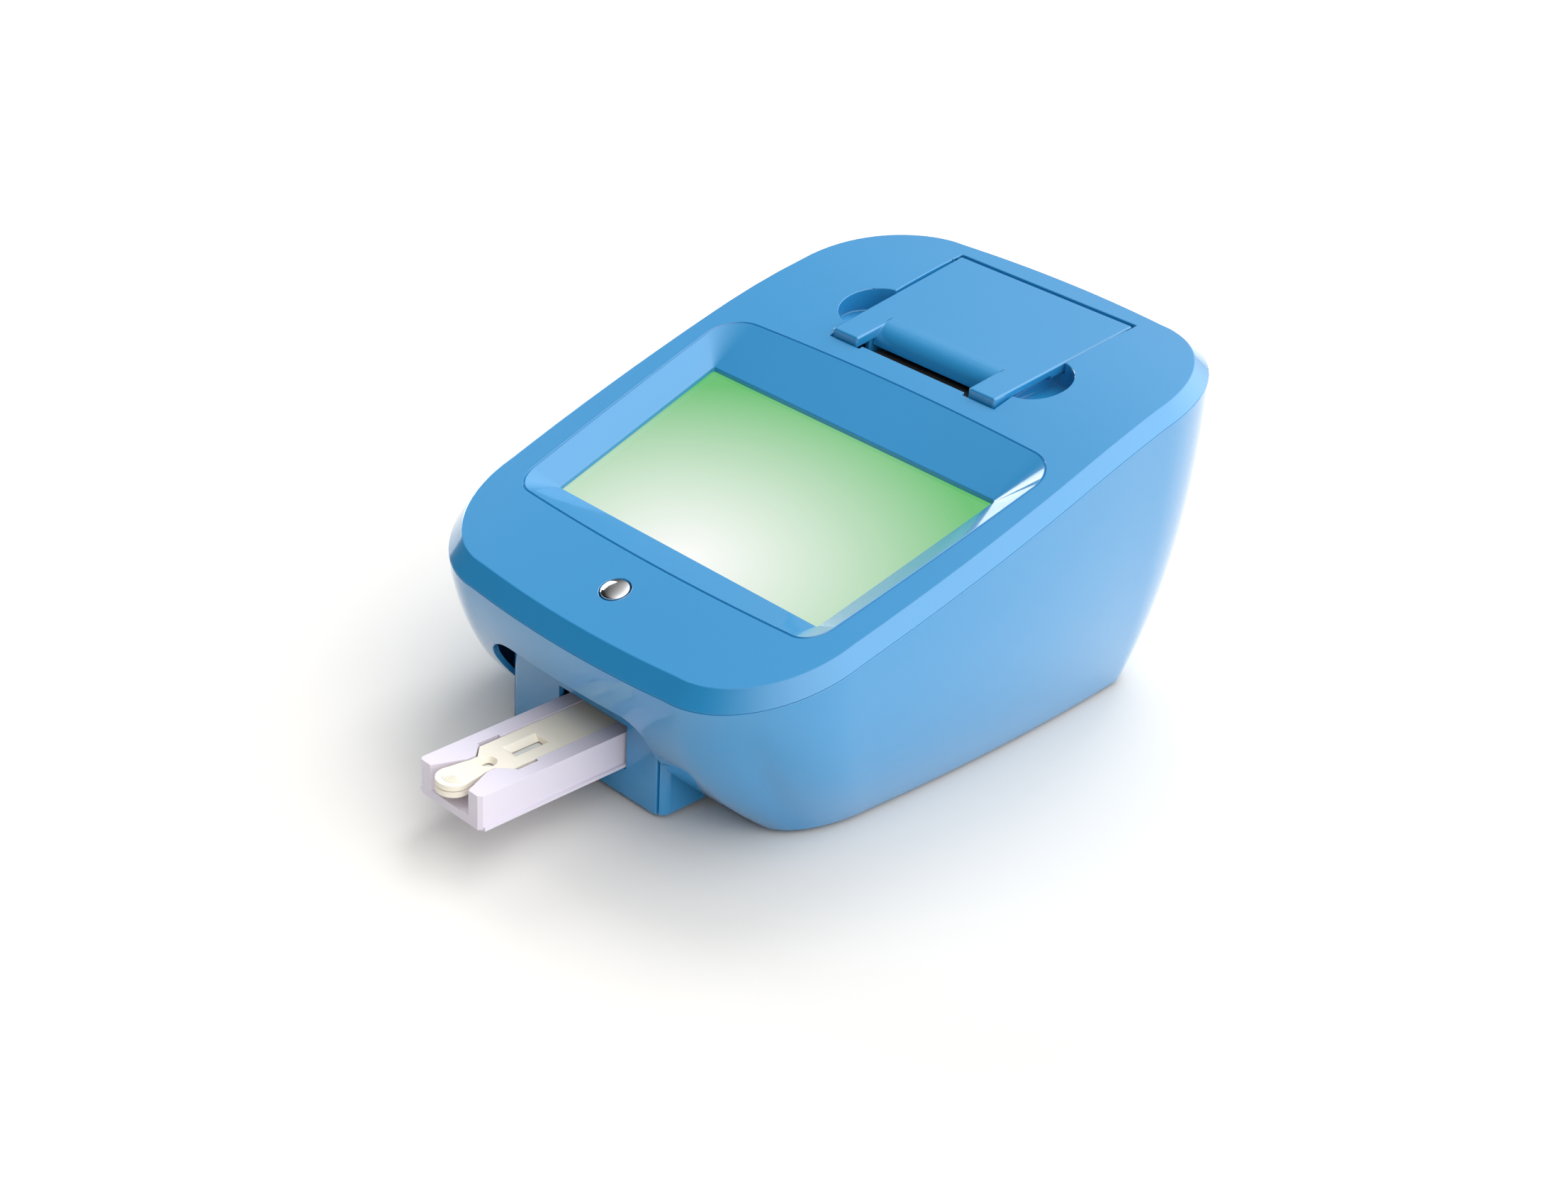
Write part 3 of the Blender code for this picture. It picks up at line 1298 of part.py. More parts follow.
def make_cassette_tray():
    front, back = tray_front(), tray_front() + TRAY_LENGTH
    low, top = tray_base(), tray_base() + TRAY_THICKNESS
    x = TRAY_HALF
    outline = [
        (x - ARM_CHAMFER, front),
        (x, front + ARM_CHAMFER),
        (x, back),
        (-x, back),
        (-x, front + ARM_CHAMFER),
        (-x + ARM_CHAMFER, front),
    ]
    tray = prism("cassette_tray", outline, lambda y: low, lambda y: top, GREY)
    ledge = TRAY_HALF + LEDGE_REACH
    ledge_y = (front + ARM_CHAMFER, back)
    join(tray, block("tray_ledge", (-ledge, ledge), ledge_y, (low, low + LEDGE_THICKNESS)))
    throat, pocket = front + MOUTH_LENGTH, front + MOUTH_LENGTH + THROAT_LENGTH
    right = [(THROAT_HALF, pocket + FIT), (THROAT_HALF, throat)]
    flare = (MOUTH_FRONT_HALF - THROAT_HALF) / MOUTH_LENGTH
    right += [(MOUTH_FRONT_HALF + flare * OVERRUN, front - OVERRUN)]
    mouth = right + [(-px, py) for px, py in right[::-1]]
    cut(tray, prism("tray_mouth", mouth, lambda y: low + MOUTH_FLOOR, lambda y: top + OVERRUN))
    shoulder = pocket + SHOULDER_LENGTH
    right = [(THROAT_HALF, throat), (THROAT_HALF, pocket), (POCKET_HALF, shoulder)]
    right += [(POCKET_HALF, pocket + POCKET_LENGTH)]
    outline = right + [(-px, py) for px, py in right[::-1]]
    cut(tray, prism("tray_pocket", outline, lambda y: low + POCKET_FLOOR, lambda y: top + OVERRUN))
    relief_y = (shoulder + RELIEF_FROM_SHOULDER, shoulder + RELIEF_FROM_SHOULDER + RELIEF_LENGTH)
    relief_x = POCKET_HALF + RELIEF_DEPTH
    cut(tray, block("tray_relief", (-relief_x, relief_x), relief_y, (low + POCKET_FLOOR, top + OVERRUN)))
    bay_y = (front + RACK_BAY_FROM_FRONT, back + OVERRUN)
    cut(tray, block("rack_bay", RACK_BAY, bay_y, (low - OVERRUN, low + RACK_BAY_HEIGHT)))
    return tray


def pinion_pitch():
    return PINION_TEETH * GEAR_MODULE / 2


def make_tray_rack():
    """Toothed bar along one wall of the bay under the tray."""
    pitch_x = PINION_X + pinion_pitch() + MESH_PLAY
    back_x = RACK_BAY[1] - FIT
    front = tray_front() + RACK_BAY_FROM_FRONT + FIT
    end = tray_front() + TRAY_LENGTH
    step = math.pi * GEAR_MODULE
    pinion_y = along(PINION_FROM_FRONT)
    count = int((end - front) / step)
    first = pinion_y + (math.ceil((front - pinion_y) / step) + 1 / 2) * step
    root, tip = pitch_x + GEAR_MODULE * DEDENDUM_SHARE, pitch_x - GEAR_MODULE * ADDENDUM_SHARE
    flank = tooth_flanks(root, tip)
    outline = [(back_x, front), (root, front)]
    for i in range(count - 1):
        outline += [(x, first + (i + share) * step) for x, share in flank]
    outline += [(root, end), (back_x, end)]
    low = tray_base() + FIT
    top = tray_base() + RACK_BAY_HEIGHT - FIT
    return prism("tray_rack", outline, lambda y: low, lambda y: top, NYLON)


def make_tray_pinion():
    """Gear on the tray motor's shaft, with a tooth pointing at a gap of the rack."""
    y = along(PINION_FROM_FRONT)
    low = tray_base() + 2 * FIT
    outline = [(PINION_X + gx, y + gy) for gx, gy in gear_outline(PINION_TEETH, 0.0)]
    gear = prism("tray_pinion", outline, lambda v: low, lambda v: low + PINION_WIDTH, NYLON)
    ends = (PINION_X, y, low - PINION_SHAFT_DEPTH), (PINION_X, y, low + PINION_WIDTH / 2)
    join(gear, rod("pinion_shaft", *ends, PINION_SHAFT, sides=14))
    return pivot(gear, (PINION_X, y, low))


# Tray motor standing on the base plate, and the two tray rails
MOTOR_RADIUS = 10.0 * MM
MOTOR_HEIGHT = 8.4 * MM
MOTOR_EAR = 13.5 * MM
MOTOR_EAR_HALF = 3.5 * MM
RAIL_THICKNESS = 3.0 * MM
RAIL_FROM_FRONT = 45.5 * MM
RAIL_LENGTH = 92.0 * MM
RAIL_LIP = 2.0 * MM


def make_tray_motor():
    y, low = along(PINION_FROM_FRONT), base_top() + FIT
    ends = (PINION_X, y, low), (PINION_X, y, low + MOTOR_HEIGHT)
    motor = rod("tray_motor", *ends, MOTOR_RADIUS, STEEL, sides=28)
    ear = block(
        "motor_ear",
        (PINION_X - MOTOR_EAR_HALF, PINION_X + MOTOR_EAR_HALF),
        (y - MOTOR_EAR, y + MOTOR_EAR),
        (low, low + WALL / 2),
    )
    join(motor, ear)
    shaft_low = tray_base() + FIT - PINION_SHAFT_DEPTH
    ends = (PINION_X, y, shaft_low), (PINION_X, y, low + MOTOR_HEIGHT + WALL)
    return cut(motor, rod("shaft_bore", *ends, PINION_SHAFT + FIT, sides=14))


def make_tray_rails():
    """C-shaped rails: a shelf under the tray ledge, a side wall and a lip over it."""
    low = base_top() + FIT
    shelf = tray_base() - FIT
    ledge_top = tray_base() + LEDGE_THICKNESS + FIT
    inner = TRAY_HALF + FIT
    side = TRAY_HALF + LEDGE_REACH + FIT
    outer = side + RAIL_THICKNESS
    shelf_inner = TRAY_HALF - RAIL_LIP
    y = (along(RAIL_FROM_FRONT), along(RAIL_FROM_FRONT + RAIL_LENGTH))
    outline = [(shelf_inner, shelf), (side, shelf), (side, ledge_top), (inner, ledge_top)]
    outline += [(inner, ledge_top + RAIL_LIP), (outer, ledge_top + RAIL_LIP), (outer, low)]
    outline += [(side - RAIL_LIP, low), (side - RAIL_LIP, shelf - RAIL_LIP), (shelf_inner, shelf - RAIL_LIP)]
    front_prism("tray_rail_right", outline, y, BLACK)
    front_prism("tray_rail_left", [(-x, z) for x, z in outline[::-1]], y, BLACK)


# Test cassette: base, strip and cover with its spoon-shaped grip
CASSETTE_HALF = 9.5 * MM
CASSETTE_LENGTH = 63.0 * MM
CASSETTE_BASE = 2.3 * MM
CASSETTE_COVER = 2.2 * MM
NECK_HALF = 4.9 * MM
GRIP_HALF = 6.7 * MM
GRIP_BACK_HALF = 5.5 * MM
GRIP_NOSE = 6.6 * MM
GRIP_LENGTH = 14.4 * MM
GRIP_SHOULDER = 2.6 * MM
STRIP_HALF = 2.0 * MM
STRIP_THICKNESS = 0.5 * MM
SAMPLE_WELL_RADIUS = (1.8 * MM, 3.7 * MM)
SAMPLE_WELL_FROM_BODY = 0.8 * MM
READ_HALF = (0.9 * MM, 4.3 * MM)
READ_SLOT_FROM_BODY = (13.2 * MM, 24.9 * MM)
READ_RIM_FROM_BODY = (9.6 * MM, 25.8 * MM)


def cassette_front():
    """Front of the cassette's wide body, just behind the tray's throat."""
    return tray_front() + MOUTH_LENGTH + THROAT_LENGTH + FIT


def cassette_outline():
    front, back = cassette_front(), cassette_front() + CASSETTE_LENGTH
    tip = tray_front() - GRIP_OVERHANG
    right = oval_arc((0.0, tip + GRIP_NOSE), (GRIP_HALF, GRIP_NOSE), -90, 0, 7)
    right += [(GRIP_BACK_HALF, tip + GRIP_LENGTH), (NECK_HALF, tip + GRIP_LENGTH + GRIP_SHOULDER)]
    right += [(NECK_HALF, front), (CASSETTE_HALF, front + SHOULDER_LENGTH)]
    right += [(CASSETTE_HALF, back - ARM_CHAMFER), (CASSETTE_HALF - ARM_CHAMFER, back)]
    return right + [(-x, y) for x, y in right[:0:-1]]


def read_window(low, high):
    """A funnel over the strip: a slot below, with walls that slope out to its rim."""
    rings = []
    levels = (low, READ_HALF[0], READ_SLOT_FROM_BODY), (high, READ_HALF[1], READ_RIM_FROM_BODY)
    for z, half, reach in levels:
        front, back = (cassette_front() + d for d in reach)
        rings.append([(-half, front, z), (half, front, z), (half, back, z), (-half, back, z)])
    return loft("read_window", rings)


def make_cassette():
    low = tray_base() + POCKET_FLOOR + FIT
    mid = low + CASSETTE_BASE
    outline = cassette_outline()
    base = prism("cassette_base", outline, lambda y: low, lambda y: mid, CREAM)
    channel_half = STRIP_HALF + FIT
    strip_y = (cassette_front() - FIT, cassette_front() + CASSETTE_LENGTH - 2 * ARM_CHAMFER)
    channel_low = mid - STRIP_THICKNESS - 2 * FIT
    channel_y = (strip_y[0] - FIT, strip_y[1] + FIT)
    cut(base, block("strip_channel", (-channel_half, channel_half), channel_y, (channel_low, mid + WALL)))
    strip_low = channel_low + FIT
    block("test_strip", (-STRIP_HALF, STRIP_HALF), strip_y, (strip_low, strip_low + STRIP_THICKNESS), PAPER)
    cover_low, cover_top = mid + FIT, mid + FIT + CASSETTE_COVER
    cover = prism("cassette_cover", outline, lambda y: cover_low, lambda y: cover_top, CREAM)
    well_y = cassette_front() + SAMPLE_WELL_FROM_BODY
    inner, outer = SAMPLE_WELL_RADIUS
    ends = (0, well_y, cover_low - FIT), (0, well_y, cover_top + FIT)
    funnel = rod("sample_well", *ends, inner, end_radius=outer, sides=20)
    return cut(cover, funnel, read_window(cover_low - FIT, cover_top + FIT))


# Frame over the tray that carries the optical head
BRIDGE_HALF = 26.0 * MM
BRIDGE_THICKNESS = 2.0 * MM
BRIDGE_FROM_FRONT = (45.5 * MM, 79.0 * MM)
BRIDGE_CLEARANCE = 6.4 * MM
BRIDGE_FOOT = 7.0 * MM
HEAD_HALF = 15.0 * MM
HEAD_FROM_FRONT = (46.5 * MM, 76.0 * MM)
HEAD_LOW = 31.5 * MM
LENS_FROM_FRONT = 56.0 * MM
LENS_RADIUS = 5.0 * MM
LENS_BORE_SHARE = 0.76
LENS_STAND = 4.5 * MM
LED_RADIUS = 3.0 * MM
LED_LENGTH = 12.0 * MM
LED_HEIGHT_SHARE = 0.514
LED_FLANGE_SHARE = 1.5
LED_NECK_SHARE = 0.9
LENS_BULGE = 1.6 * MM
LENS_EDGE = 1.4 * MM
DETECTOR_BOARD_THICKNESS = 1.6 * MM


def bridge_top():
    """Height of the bridge's deck, clear below the front edge of the display."""
    front = along(WINDOW_FRONT_FROM_FRONT) - DISPLAY_MARGIN
    return face_plane(front) - display_drop() - DISPLAY_THICKNESS - BRIDGE_CLEARANCE


def head_levels():
    """Heights of the optical head's underside and top, under the bridge's deck."""
    board = DETECTOR_BOARD_THICKNESS + 2 * FIT
    return BASE_Z + HEAD_LOW, bridge_top() - BRIDGE_THICKNESS - board


def head_level(share):
    low, top = head_levels()
    return low + (top - low) * share


def make_optics_bridge():
    """Folded sheet frame: feet out, two legs up and a deck across."""
    x, t, low = BRIDGE_HALF, BRIDGE_THICKNESS, base_top() + FIT
    top = bridge_top()
    right = [(x + BRIDGE_FOOT, low), (x + BRIDGE_FOOT, low + t), (x, low + t), (x, top)]
    inner = [(x - t, top - t), (x - t, low)]
    outline = right + [(-px, pz) for px, pz in right[::-1]] + [(-px, pz) for px, pz in inner[::-1]] + inner
    y = tuple(along(d) for d in BRIDGE_FROM_FRONT)
    return front_prism("optics_bridge", outline, y, STEEL)


def make_optical_head():
    y = tuple(along(d) for d in HEAD_FROM_FRONT)
    low, top = head_levels()
    head = block("optical_head", (-HEAD_HALF, HEAD_HALF), y, (low, top), BLACK)
    lens_y = along(LENS_FROM_FRONT)
    ends = (0, lens_y, low - WALL), (0, lens_y, head_level(LENS_BORE_SHARE))
    bore = rod("lens_bore", *ends, LENS_RADIUS + FIT, sides=24)
    light_z = head_level(LED_HEIGHT_SHARE)
    tunnel = rod("led_bore", (0, lens_y, light_z), (0, y[1] + WALL, light_z), LED_RADIUS + FIT, sides=16)
    return cut(head, bore, tunnel)


def make_optics():
    lens_y, lens_z = along(LENS_FROM_FRONT), BASE_Z + HEAD_LOW + LENS_STAND
    steps = 5
    front = []
    for i in range(steps + 1):
        share = i / steps
        front.append((LENS_RADIUS * share, LENS_EDGE / 2 + LENS_BULGE * (1 - share**2)))
    profile = front + [(r, -z) for r, z in front[::-1]]
    turned("objective_lens", profile, (0, lens_y, lens_z), (0, 0, 1), GLASS, 24)
    head_back = along(HEAD_FROM_FRONT[1])
    led_z = head_level(LED_HEIGHT_SHARE)
    led_ends = (0, head_back - LED_LENGTH, led_z), (0, head_back - FIT, led_z)
    led = rod("excitation_led", *led_ends, LED_RADIUS, CHROME, sides=16)
    neck_ends = (0, head_back - WALL, led_z), (0, head_back + WALL / 2, led_z)
    join(led, rod("led_neck", *neck_ends, LED_RADIUS * LED_NECK_SHARE, sides=16))
    flange_ends = (0, head_back + FIT, led_z), (0, head_back + BRIDGE_THICKNESS, led_z)
    join(led, rod("led_flange", *flange_ends, LED_RADIUS * LED_FLANGE_SHARE, sides=16))
    top = bridge_top() - BRIDGE_THICKNESS - FIT
    y = tuple(along(d) for d in HEAD_FROM_FRONT)
    block("detector_board", (-HEAD_HALF, HEAD_HALF), y, (top - DETECTOR_BOARD_THICKNESS, top), BOARD)


def make_main_board():
    """Control board with its processor shield and the connectors to the display."""
    y = board_ends()
    length = y[1] - y[0]
    low = base_top() + STANDOFF_HEIGHT + FIT
    top = low + BOARD_THICKNESS
    board = block("main_board", (-BOARD_HALF, BOARD_HALF), y, (low, top), BOARD)
    shield_x = tuple(BOARD_HALF * share for share in SHIELD_X_SHARES)
    shield_y = tuple(y[0] + length * share for share in SHIELD_Y_SHARES)
    join(board, block("processor_shield", shield_x, shield_y, (low + FIT, top + SHIELD_HEIGHT)))
    plug_x = tuple(BOARD_HALF * share for share in PLUG_X_SHARES)
    plug_y = tuple(y[0] + length * share for share in PLUG_Y_SHARES)
    join(board, block("display_plug", plug_x, plug_y, (low + FIT, top + PLUG_HEIGHT)))
    return board


# Rear panel with power inlet, two data ports and the mains rocker
INLET_X = -31.0 * MM
INLET_RADIUS = 5.5 * MM
INLET_BORE = 3.2 * MM
INLET_PIN = 1.0 * MM
INLET_COLLAR = 7.1 * MM
PORT_X = (-12.0 * MM, 6.0 * MM)
PORT_SIZE = (13.2 * MM, 5.8 * MM)
PORT_DEPTH = 12.0 * MM
PORT_WALL = 0.6 * MM
PORT_TONGUE_INSET = 1.8 * MM
PORT_TONGUE_HEIGHT = 1.5 * MM
ROCKER_X = 29.0 * MM
ROCKER_SIZE = (13.0 * MM, 19.0 * MM)
ROCKER_RIM = 1.8 * MM
ROCKER_ANGLE = 14.0
ROCKER_DEPTH = 14.0 * MM
ROCKER_FRAME_WALL = 1.2 * MM
ROCKER_TAIL = 3.0 * MM
ROCKER_TAIL_SHARE = 0.45
ROCKER_EDGE_SHARE = 0.94
PANEL_MIDDLE = 27.0 * MM


def make_rear_panel():
    """Recessed box in the back wall, trimmed flush with the wall's outer form."""
    x = BAY_HALF
    low, high = (BASE_Z + height for height in BAY_HEIGHT)
    back = along(BODY_LENGTH + OVERRUN)
    panel = block("rear_panel", (-x, x), (panel_face() - BAY_WALL, back), (low, high), BLUE)
    combine(panel, outer_form("rear_trim"), "INTERSECT")
    inside = (low + BAY_WALL, high - BAY_WALL)
    cut(panel, block("bay_inside", (BAY_WALL - x, x - BAY_WALL), (panel_face(), back + OVERRUN), inside))
    z = BASE_Z + PANEL_MIDDLE
    through = (panel_face() - BAY_WALL - WALL, panel_face() + WALL)
    ends = (INLET_X, through[0], z), (INLET_X, through[1], z)
    cut(panel, rod("inlet_hole", *ends, INLET_RADIUS + FIT, sides=24))
    for port_x in PORT_X:
        half_x, half_z = PORT_SIZE[0] / 2 + FIT, PORT_SIZE[1] / 2 + FIT
        cut(panel, block("port_hole", (port_x - half_x, port_x + half_x), through, (z - half_z, z + half_z)))
    half_x, half_z = ROCKER_SIZE[0] / 2 + FIT, ROCKER_SIZE[1] / 2 + FIT
    hole_x, hole_z = (ROCKER_X - half_x, ROCKER_X + half_x), (z - half_z, z + half_z)
    cut(panel, block("rocker_hole", hole_x, through, hole_z))
    return panel


def make_power_inlet():
    y, z = panel_face(), BASE_Z + PANEL_MIDDLE
    face = y + BAY_WALL
    ends = (INLET_X, y - PORT_DEPTH, z), (INLET_X, face - FIT, z)
    inlet = rod("power_inlet", *ends, INLET_RADIUS, BLACK, sides=24)
    join(inlet, rod("inlet_collar", (INLET_X, y + FIT, z), (INLET_X, face, z), INLET_COLLAR, sides=24))
    bore_ends = (INLET_X, y - PORT_DEPTH / 2, z), (INLET_X, y + WALL * 2, z)
    cut(inlet, rod("inlet_bore", *bore_ends, INLET_BORE, sides=18))
    pin_ends = (INLET_X, y - PORT_DEPTH + WALL, z), (INLET_X, y, z)
    return join(inlet, rod("inlet_pin", *pin_ends, INLET_PIN, sides=10))


def make_data_ports():
    y, z = panel_face(), BASE_Z + PANEL_MIDDLE
    half_x, half_z = PORT_SIZE[0] / 2, PORT_SIZE[1] / 2
    for i, x in enumerate(PORT_X):
        port_x, port_z = (x - half_x, x + half_x), (z - half_z, z + half_z)
        port = block(f"data_port_{i + 1}", port_x, (y - PORT_DEPTH, y + FIT), port_z, STEEL)
        room_x = (port_x[0] + PORT_WALL, port_x[1] - PORT_WALL)
        room_z = (port_z[0] + PORT_WALL, port_z[1] - PORT_WALL)
        cut(port, block("port_room", room_x, (y - PORT_DEPTH + WALL, y + WALL), room_z))
        tongue_x = (port_x[0] + PORT_TONGUE_INSET, port_x[1] - PORT_TONGUE_INSET)
        tongue_y = (y - PORT_DEPTH + PORT_WALL, y - PORT_WALL)
        join(port, block("port_tongue", tongue_x, tongue_y, (z, z + PORT_TONGUE_HEIGHT)))


def make_rocker():
    """Switch frame fixed in the panel and the rocker that tips in it."""
    y, z = panel_face(), BASE_Z + PANEL_MIDDLE
    half_x, half_z = ROCKER_SIZE[0] / 2, ROCKER_SIZE[1] / 2
    depth = (y - ROCKER_DEPTH, y + BAY_WALL - FIT)
    frame_x, frame_z = (ROCKER_X - half_x, ROCKER_X + half_x), (z - half_z, z + half_z)
    frame = block("rocker_frame", frame_x, depth, frame_z, BLACK)
    rim_x, rim_z = half_x + ROCKER_RIM, half_z + ROCKER_RIM
    rim_y = (y + FIT, y + BAY_WALL)
    join(frame, block("rocker_rim", (ROCKER_X - rim_x, ROCKER_X + rim_x), rim_y, (z - rim_z, z + rim_z)))
    inner_x, inner_z = half_x - ROCKER_FRAME_WALL, half_z - ROCKER_FRAME_WALL
    room_y = (y - ROCKER_DEPTH / 2, y + WALL * 2)
    room_x, room_z = (ROCKER_X - inner_x, ROCKER_X + inner_x), (z - inner_z, z + inner_z)
    cut(frame, block("rocker_room", room_x, room_y, room_z))
    key_x = (ROCKER_X - inner_x + FIT, ROCKER_X + inner_x - FIT)
    reach, pivot_y, face = inner_z - 2 * FIT, y, y + BAY_WALL - FIT
    slope = math.tan(math.radians(ROCKER_ANGLE))
    proud = reach * ROCKER_EDGE_SHARE
    tail = reach * ROCKER_TAIL_SHARE
    outline = [
        (pivot_y - ROCKER_TAIL, z - tail),
        (pivot_y, z - reach),
        (face, z - reach),
        (face, z),
        (face + proud * slope, z + proud),
        (pivot_y, z + reach),
        (pivot_y - ROCKER_TAIL, z + tail),
    ]
    pivot(side_prism("rocker_key", outline, key_x, BLACK), (ROCKER_X, pivot_y, z))


def make_all():
    make_main_housing()
    make_top_cover()
    make_tray_bay_bezel()
    make_base_plate()
    make_feet()
    make_screws()
    make_printer_door()
    make_hinge_pins()
    make_platen()
    make_drive_gear()
    make_print_mechanism()
    make_paper_bucket()
    make_paper_roll()
    make_screen()
    make_power_button()
    make_switch_board()
    make_cassette_tray()
    make_tray_rack()
    make_tray_pinion()
    make_tray_motor()
    make_tray_rails()
    make_cassette()
    make_optics_bridge()
    make_optical_head()
    make_optics()
    make_main_board()
    make_rear_panel()
    make_power_inlet()
    make_data_ports()
    make_rocker()


make_all()
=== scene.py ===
"""Bench-top fluorescence immunoassay analyzer with its cassette tray run out."""

import math

import bmesh
import bpy
from mathutils import Matrix, Vector
from mathutils.geometry import intersect_point_line


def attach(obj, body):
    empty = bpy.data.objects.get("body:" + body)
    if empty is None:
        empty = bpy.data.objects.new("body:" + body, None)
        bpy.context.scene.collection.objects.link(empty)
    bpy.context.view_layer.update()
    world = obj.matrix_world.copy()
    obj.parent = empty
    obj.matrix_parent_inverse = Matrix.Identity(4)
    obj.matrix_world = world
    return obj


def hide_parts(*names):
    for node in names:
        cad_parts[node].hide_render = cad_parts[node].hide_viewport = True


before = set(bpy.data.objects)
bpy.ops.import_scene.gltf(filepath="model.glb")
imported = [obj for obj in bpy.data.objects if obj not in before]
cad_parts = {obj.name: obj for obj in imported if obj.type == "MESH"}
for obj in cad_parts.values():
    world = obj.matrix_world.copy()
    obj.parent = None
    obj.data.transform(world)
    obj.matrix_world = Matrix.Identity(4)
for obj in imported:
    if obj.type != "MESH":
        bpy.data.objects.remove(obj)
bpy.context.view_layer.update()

# Camera.
# It looks down on the front right-hand corner of the analyzer and leans slightly, as in the
# photograph.
camera_place = Vector((0.650, -0.66703, 0.5584))
camera_azimuth = math.radians(44.102845)
camera_elevation = math.radians(28.801775)
camera_roll = math.radians(3.203002)
focal_length = 63.816
sensor_width = 36.0

back = Vector(
    (
        math.sin(camera_azimuth) * math.cos(camera_elevation),
        -math.cos(camera_azimuth) * math.cos(camera_elevation),
        math.sin(camera_elevation),
    )
)
level_right = Vector((math.cos(camera_azimuth), math.sin(camera_azimuth), 0.0))
level_up = back.cross(level_right)
right = math.cos(camera_roll) * level_right + math.sin(camera_roll) * level_up
up = math.cos(camera_roll) * level_up - math.sin(camera_roll) * level_right
camera = bpy.data.objects.new("camera", bpy.data.cameras.new("camera"))
camera.data.lens = focal_length
camera.data.sensor_width = sensor_width
camera.matrix_world = Matrix.Translation(camera_place) @ Matrix((right, up, back)).transposed().to_4x4()
bpy.context.scene.collection.objects.link(camera)
bpy.context.scene.camera = camera

# Studio.
# A white floor runs on to a plain white backdrop, in a bright room that is darker towards
# the front left, with an overhead softbox that throws the shadow to the front right.
floor_half = 3.0
floor_colour = (0.74, 0.727, 0.702, 1.0)
room_bright_side = (0.72, 0.42, 0.55)
room_dark, room_bright = 0.02, 2.15
dark_until, bright_from = -0.25, 1.0
# Place, width, height, watts and whether gloss mirrors it. The strip lights the edges of the
# rim, and the corner softbox shines in the corner of the screen's frame.
softboxes = {
    "overhead_softbox": ((-0.5, 1.2, 1.7), 1.0, 1.0, 18.0, False),
    "side_strip": ((-1.8, 0.15, 0.35), 0.8, 0.4, 5.0, True),
    "corner_softbox": ((-1.7, 0.42, 0.85), 0.7, 0.8, 9.0, True),
}
softbox_aim = Vector((0.0, 0.0, 0.07))

bm = bmesh.new()
bmesh.ops.create_grid(bm, x_segments=1, y_segments=1, size=floor_half)
mesh = bpy.data.meshes.new("floor")
bm.to_mesh(mesh)
bm.free()
floor = bpy.data.objects.new("floor", mesh)
bpy.context.scene.collection.objects.link(floor)
paper_sweep = bpy.data.materials.new("paper_sweep")
paper_sweep.use_nodes = True
shader = paper_sweep.node_tree.nodes["Principled BSDF"]
shader.inputs["Base Color"].default_value = floor_colour
shader.inputs["Roughness"].default_value = 0.7
shader.inputs["Specular IOR Level"].default_value = 0.2
floor.data.materials.append(paper_sweep)

world = bpy.data.worlds.new("room")
world.use_nodes = True
nodes, links = world.node_tree.nodes, world.node_tree.links
direction = nodes.new("ShaderNodeTexCoord")
facing = nodes.new("ShaderNodeVectorMath")
facing.operation = "DOT_PRODUCT"
facing.inputs[1].default_value = room_bright_side
level = nodes.new("ShaderNodeMapRange")
level.interpolation_type = "SMOOTHSTEP"
level.inputs["From Min"].default_value = dark_until
level.inputs["From Max"].default_value = bright_from
level.inputs["To Min"].default_value = room_dark
level.inputs["To Max"].default_value = room_bright
links.new(direction.outputs["Generated"], facing.inputs[0])
links.new(facing.outputs["Value"], level.inputs["Value"])
nodes["Background"].inputs["Color"].default_value = (1.0, 1.0, 1.0, 1.0)
# The room lights the analyzer unevenly, but the camera sees it plain white from every side.
ray = nodes.new("ShaderNodeLightPath")
seen = nodes.new("ShaderNodeMix")
seen.inputs["B"].default_value = 1.0
links.new(ray.outputs["Is Camera Ray"], seen.inputs["Factor"])
links.new(level.outputs["Result"], seen.inputs["A"])
links.new(seen.outputs["Result"], nodes["Background"].inputs["Strength"])
bpy.context.scene.world = world
bpy.context.scene.view_settings.view_transform = "Standard"
for name, (place, width, height, watts, mirrored) in softboxes.items():
    lamp = bpy.data.lights.new(name, "AREA")
    lamp.shape = "RECTANGLE"
    lamp.size, lamp.size_y, lamp.energy = width, height, watts
    softbox = bpy.data.objects.new(name, lamp)
    turn = (softbox_aim - Vector(place)).to_track_quat("-Z", "Y").to_matrix().to_4x4()
    softbox.matrix_world = Matrix.Translation(place) @ turn
    softbox.visible_glossy = mirrored
    bpy.context.scene.collection.objects.link(softbox)

# Side wall.
# The lower shell is one moulding of polished blue plastic that tucks in towards the base. It
# opens at the front for the tray and at the back for the connectors. Four posts take screws.
mm = 0.001
shell_blue = (0.026, 0.265, 0.560, 1.0)
shell_blue_deep = (0.024, 0.250, 0.530, 1.0)
body_front = -109.2 * mm
body_length = 272.9 * mm
base_level = 2.0 * mm
shell_wall = 2.5 * mm
# The seam under the cover, the clearance of what fits together, and how far cutters overrun.
seam, fit, overrun = 0.1 * mm, 0.3 * mm, 6.0 * mm
grain_depth, wall_edge = 0.2 * mm, 0.3 * mm
rim_front, rim_side, rim_back, rim_drop = 5.1 * mm, 4.4 * mm, 8.5 * mm, 6.5 * mm
face_slope, back_slope = 0.2928, 0.078
front_height = 67.1 * mm
crown_start, crown_length = 166.9 * mm, 85.8 * mm
base_inset, base_back = 39.7 * mm, 236.6 * mm
